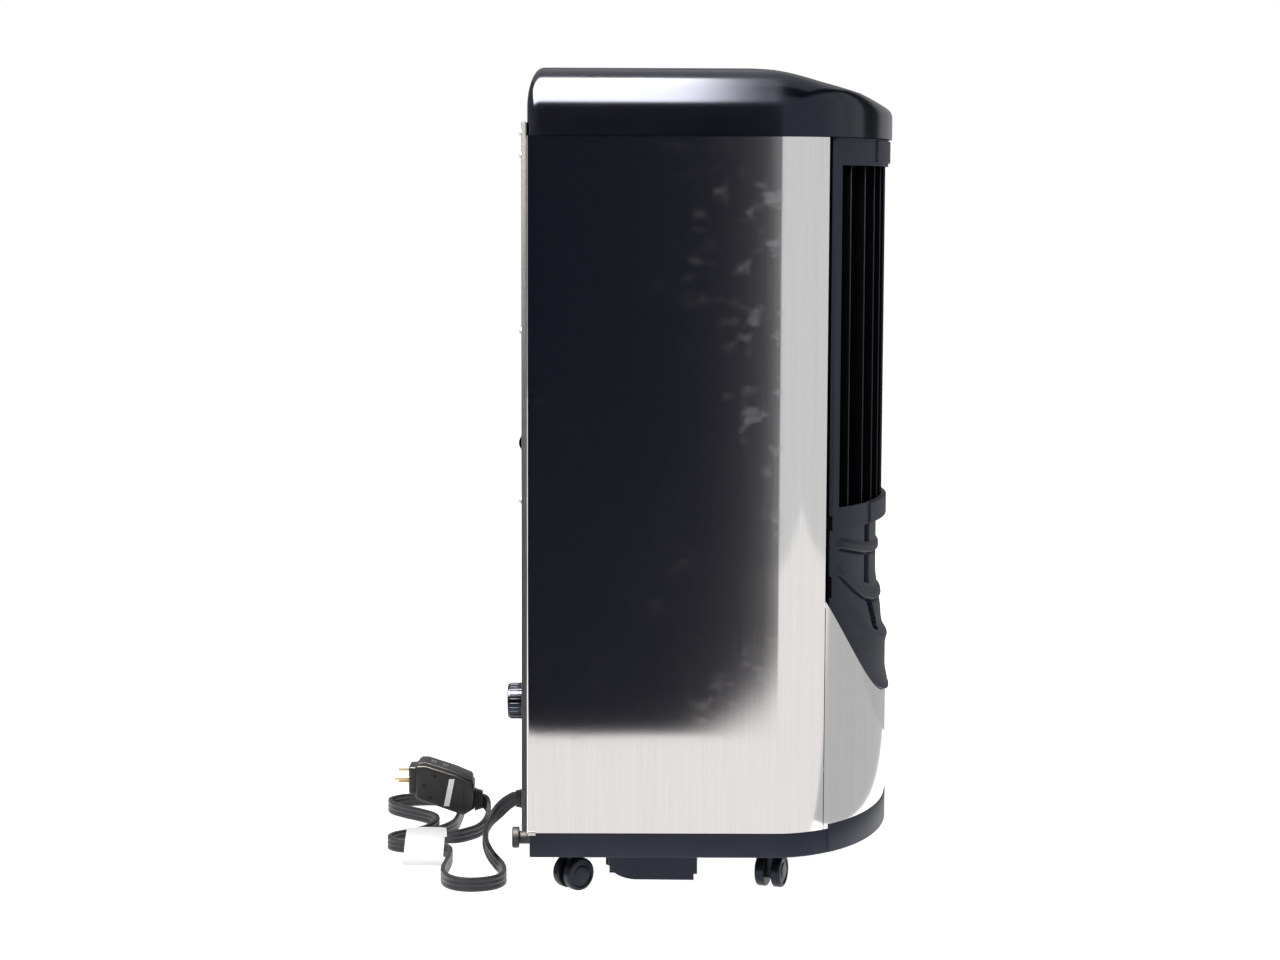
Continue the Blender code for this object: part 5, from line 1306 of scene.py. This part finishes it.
class UNIT_OT_rear(bpy.types.Operator):
    """Builds the rear panel with its intake grille, filter, hose collar, drains and screws."""

    bl_idname = "unit.rear"
    bl_label = "Rear"

    def execute(self, context):
        self.build_panel()
        self.build_intake()
        self.build_collar()
        self.build_drains()
        self.build_screws()
        return {"FINISHED"}

    @staticmethod
    def build_panel():
        bm = bmesh.new()
        add_box(bm, (-0.2125, REAR_Y + GAP, BASE_TOP + GAP), (0.2125, REAR_FACE, 0.7440), 0.0012)
        panel = finish_piece(bm, "rear_cover", PALETTE.rear, "cabinet", ["rear_panel"])
        holes = bmesh.new()
        add_box(holes, (-0.172, 0.1, 0.415), (0.172, 0.3, 0.695))
        add_rod(holes, "Y", EXHAUST, 0.0703, 0.1, 0.3, 72)
        add_rod(holes, "Y", UPPER_DRAIN, 0.0118, 0.1, 0.3, 40)
        add_box(holes, (-0.1458, 0.1, 0.0672), (-0.1342, 0.3, 0.0888))
        for row in range(8):
            z = 0.235 + row * 0.015
            add_box(holes, (-0.185, 0.1, z), (-0.040, 0.3, z + 0.007), 0.0030, 3)
        carve(panel, holes)
        soften(panel, 0.0004)
        bm = bmesh.new()
        for z in (0.7085, 0.4005):
            add_box(bm, (-0.190, REAR_FACE - 0.0006, z), (0.190, REAR_FACE + 0.0009, z + 0.003), 0.0007)
        for x in (-0.190, 0.187):
            add_box(bm, (x, REAR_FACE - 0.0006, 0.4005), (x + 0.003, REAR_FACE + 0.0009, 0.7115), 0.0007)
        finish_piece(bm, "rear_beads", PALETTE.rear, "cabinet")

    @staticmethod
    def build_intake():
        bm = bmesh.new()
        add_box(bm, (-0.1715, REAR_Y + GAP, 0.4155), (0.1715, REAR_FACE, 0.6945), 0.0010)
        grille = finish_piece(bm, "intake_louvre", PALETTE.rear, "filter_door", ["intake_grille"])
        slots = bmesh.new()
        for row in range(13):
            z = 0.4470 + row * 0.018
            for low, high in ((-0.160, -0.004), (0.004, 0.160)):
                add_box(slots, (low, 0.1, z - 0.0045), (high, 0.3, z + 0.0045), 0.0038, 3)
        carve(grille, slots)
        soften(grille, 0.0004)
        middle = (0.422 + 0.439) / 2
        angles = [math.pi * step / 12 for step in range(13)]
        hook = [(REAR_FACE - 0.001 + 0.0072 * math.sin(angle), middle - 0.0085 * math.cos(angle)) for angle in angles]
        for side, label in ((-1, "left"), (1, "right")):
            bm = bmesh.new()
            add_prism(bm, hook, side * 0.100 - 0.014, side * 0.100 + 0.014)
            bmesh.ops.transform(bm, matrix=SIDE_TURN, verts=bm.verts)
            tab = finish_piece(bm, f"pull_tab_{label}", PALETTE.cover, "filter_door")
            scoop = bmesh.new()
            add_box(scoop, (side * 0.100 - 0.011, REAR_FACE + 0.0006, 0.4190),
                    (side * 0.100 + 0.011, REAR_FACE + 0.0044, 0.4335), 0.0012)
            soften(carve(tab, scoop), 0.0006, 3)
        bm = bmesh.new()
        add_box(bm, (-0.168, 0.1655, 0.421), (0.168, 0.1700, 0.689), 0.0006)
        screen = finish_piece(bm, "filter_frame", PALETTE.rear, "filter_door", ["air_filter"])
        panes = bmesh.new()
        for column in range(4):
            for row in range(3):
                x, z = -0.162 + column * 0.0820, 0.427 + row * 0.0870
                add_box(panes, (x, 0.1, z), (x + 0.078, 0.3, z + 0.082))
        carve(screen, panes)
        bm = bmesh.new()
        add_box(bm, (-0.164, 0.1672, 0.425), (0.164, 0.1678, 0.685))
        finish_piece(bm, "filter_screen", PALETTE.filter, "filter_door")

    @staticmethod
    def build_collar():
        inner, outer, inside = 0.066, 0.070, REAR_FACE - 0.028
        profile = [(inner, inside), (outer, inside), (outer, REAR_Y - 0.0033), (outer + 0.008, REAR_Y - 0.0033),
                   (outer + 0.008, REAR_Y - GAP), (outer, REAR_Y - GAP), (outer, REAR_FACE - 0.0005),
                   (outer - 0.0008, REAR_FACE), (inner + 0.0008, REAR_FACE), (inner, REAR_FACE - 0.0008)]
        bm = bmesh.new()
        add_turned(bm, profile, "Y", EXHAUST, 96)
        for index in range(3):
            angle = math.tau * (index / 3 + 0.08)
            turn = Matrix.Translation(EXHAUST) @ Matrix.Rotation(-angle, 4, "Y")
            verts = add_box(bm, (inner - 0.0030, REAR_FACE - 0.0120, -0.008),
                            (inner + 0.001, REAR_FACE - 0.0050, 0.008))
            bmesh.ops.transform(bm, matrix=turn, verts=verts)
        finish_piece(bm, "hose_collar", PALETTE.rear, "cabinet", ["exhaust_collar"])

    @staticmethod
    def build_drains():
        rear = REAR_FACE
        spout = [(0.0075, rear - 0.020), (0.0155, rear - 0.020), (0.0155, REAR_Y - GAP), (0.0115, REAR_Y - GAP),
                 (0.0115, rear + 0.0085), (0.0110, rear + 0.009), (0.0075, rear + 0.009)]
        bm = bmesh.new()
        add_turned(bm, spout, "Y", UPPER_DRAIN, 48)
        finish_piece(bm, "upper_drain_spout", PALETTE.rear, "cabinet", ["drain_spout"])
        base, top = rear + GAP, rear + GAP + 0.0163
        cap = [(0, base + 0.011), (0.0121, base + 0.011), (0.0121, base), (0.0168, base), (0.0174, base + 0.0006),
               (0.0174, top - 0.0030), (0.0166, top - 0.0008), (0.0150, top), (0.0100, top), (0.0094, top - 0.0010),
               (0, top - 0.0010)]
        bm = bmesh.new()
        add_turned(bm, cap, "Y", UPPER_DRAIN, 72)
        for index in range(24):
            angle = math.tau * index / 24
            place = (UPPER_DRAIN[0] + 0.0172 * math.cos(angle), 0, UPPER_DRAIN[2] + 0.0172 * math.sin(angle))
            add_rod(bm, "Y", place, 0.0008, base + 0.0012, top - 0.0024, 10, 0.0003)
        finish_piece(bm, "upper_drain_cap", PALETTE.cover, "upper_drain_cap", ["drain_cap"])
        disc = [(0, 0.1745), (0.0042, 0.1745), (0.0042, 0.1828), (0.0098, 0.1828), (0.0105, 0.1836),
                (0.0105, 0.1888), (0.0097, 0.1898), (0.0070, 0.1898), (0.0064, 0.1892), (0, 0.1892)]
        bm = bmesh.new()
        add_turned(bm, disc, "Y", LOWER_DRAIN, 56)
        finish_piece(bm, "lower_drain_stopper", PALETTE.rear, "lower_drain_plug", ["drain_plug"])

    @staticmethod
    def build_screws():
        profile = [(0, REAR_FACE - 0.001), (0.0035, REAR_FACE - 0.001), (0.0035, REAR_FACE + 0.0006),
                   (0.0032, REAR_FACE + 0.0014), (0.0024, REAR_FACE + 0.0021), (0.0012, REAR_FACE + 0.0025),
                   (0, REAR_FACE + 0.0025)]
        bm, slots = bmesh.new(), bmesh.new()
        for side in (-1, 1):
            for z in SCREW_HEIGHTS:
                x = side * SCREW_X
                add_turned(bm, profile, "Y", (x, 0, z), 24)
                for across, up in ((0.0019, 0.0004), (0.0004, 0.0019)):
                    add_box(slots, (x - across, REAR_FACE + 0.0014, z - up), (x + across, REAR_FACE + 0.01, z + up))
        carve(finish_piece(bm, "panel_screws", PALETTE.zinc, "cabinet"), slots)


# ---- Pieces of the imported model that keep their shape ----
KEPT = {
    # The inner finish here is near-black painted shade.
    "inner": ("outlet_duct", "vane_link_bar", *(f"louvre_vane_{index}" for index in range(1, 6))),
    "galvanised": ("control_box", "divider_deck"),
    "fins": ("evaporator", "condenser"),
    "copper": ("suction_pipe", "discharge_pipe"),
    "enamel": ("compressor", "blower_motor", "fan_motor"),
    "white": ("blower_housing", "blower_wheel", "condenser_fan", "fan_shroud"),
}


class UNIT_OT_inside(bpy.types.Operator):
    """Gives the louvre, fans, coils, pipes and compressor their finishes."""

    bl_idname = "unit.inside"
    bl_label = "Inside"

    def execute(self, context):
        for material, nodes in KEPT.items():
            for name in nodes:
                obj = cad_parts[name]
                obj.data.materials.clear()
                obj.data.materials.append(getattr(PALETTE, material))
        return {"FINISHED"}


# ---- Add-on ----
OPERATORS = (UNIT_OT_camera, UNIT_OT_stage, UNIT_OT_cord, UNIT_OT_steel, UNIT_OT_trim, UNIT_OT_grille, UNIT_OT_cover,
             UNIT_OT_controls, UNIT_OT_base, UNIT_OT_casters, UNIT_OT_rear, UNIT_OT_inside)


class UNIT_PT_panel(bpy.types.Panel):
    """Shows the sizes, the colours and a button for each group of pieces."""

    bl_idname = "UNIT_PT_panel"
    bl_label = "Portable Air Conditioner"
    bl_space_type = "VIEW_3D"
    bl_region_type = "UI"
    bl_category = "Air Conditioner"

    def draw(self, context):
        for group in (context.scene.unit_sizes, context.scene.unit_colours):
            for name in group.__annotations__:
                self.layout.prop(group, name)
        for operator in OPERATORS:
            self.layout.operator(operator.bl_idname)


CLASSES = (UnitSizes, UnitColours, *OPERATORS, UNIT_PT_panel)


def register():
    for item in CLASSES:
        bpy.utils.register_class(item)
    bpy.types.Scene.unit_sizes = bpy.props.PointerProperty(type=UnitSizes)
    bpy.types.Scene.unit_colours = bpy.props.PointerProperty(type=UnitColours)


def unregister():
    del bpy.types.Scene.unit_colours
    del bpy.types.Scene.unit_sizes
    for item in reversed(CLASSES):
        bpy.utils.unregister_class(item)


def main():
    register()
    PALETTE.make(colours())
    for operator in OPERATORS:
        getattr(bpy.ops.unit, operator.bl_idname.split(".")[1])()


if __name__ == "__main__":
    main()
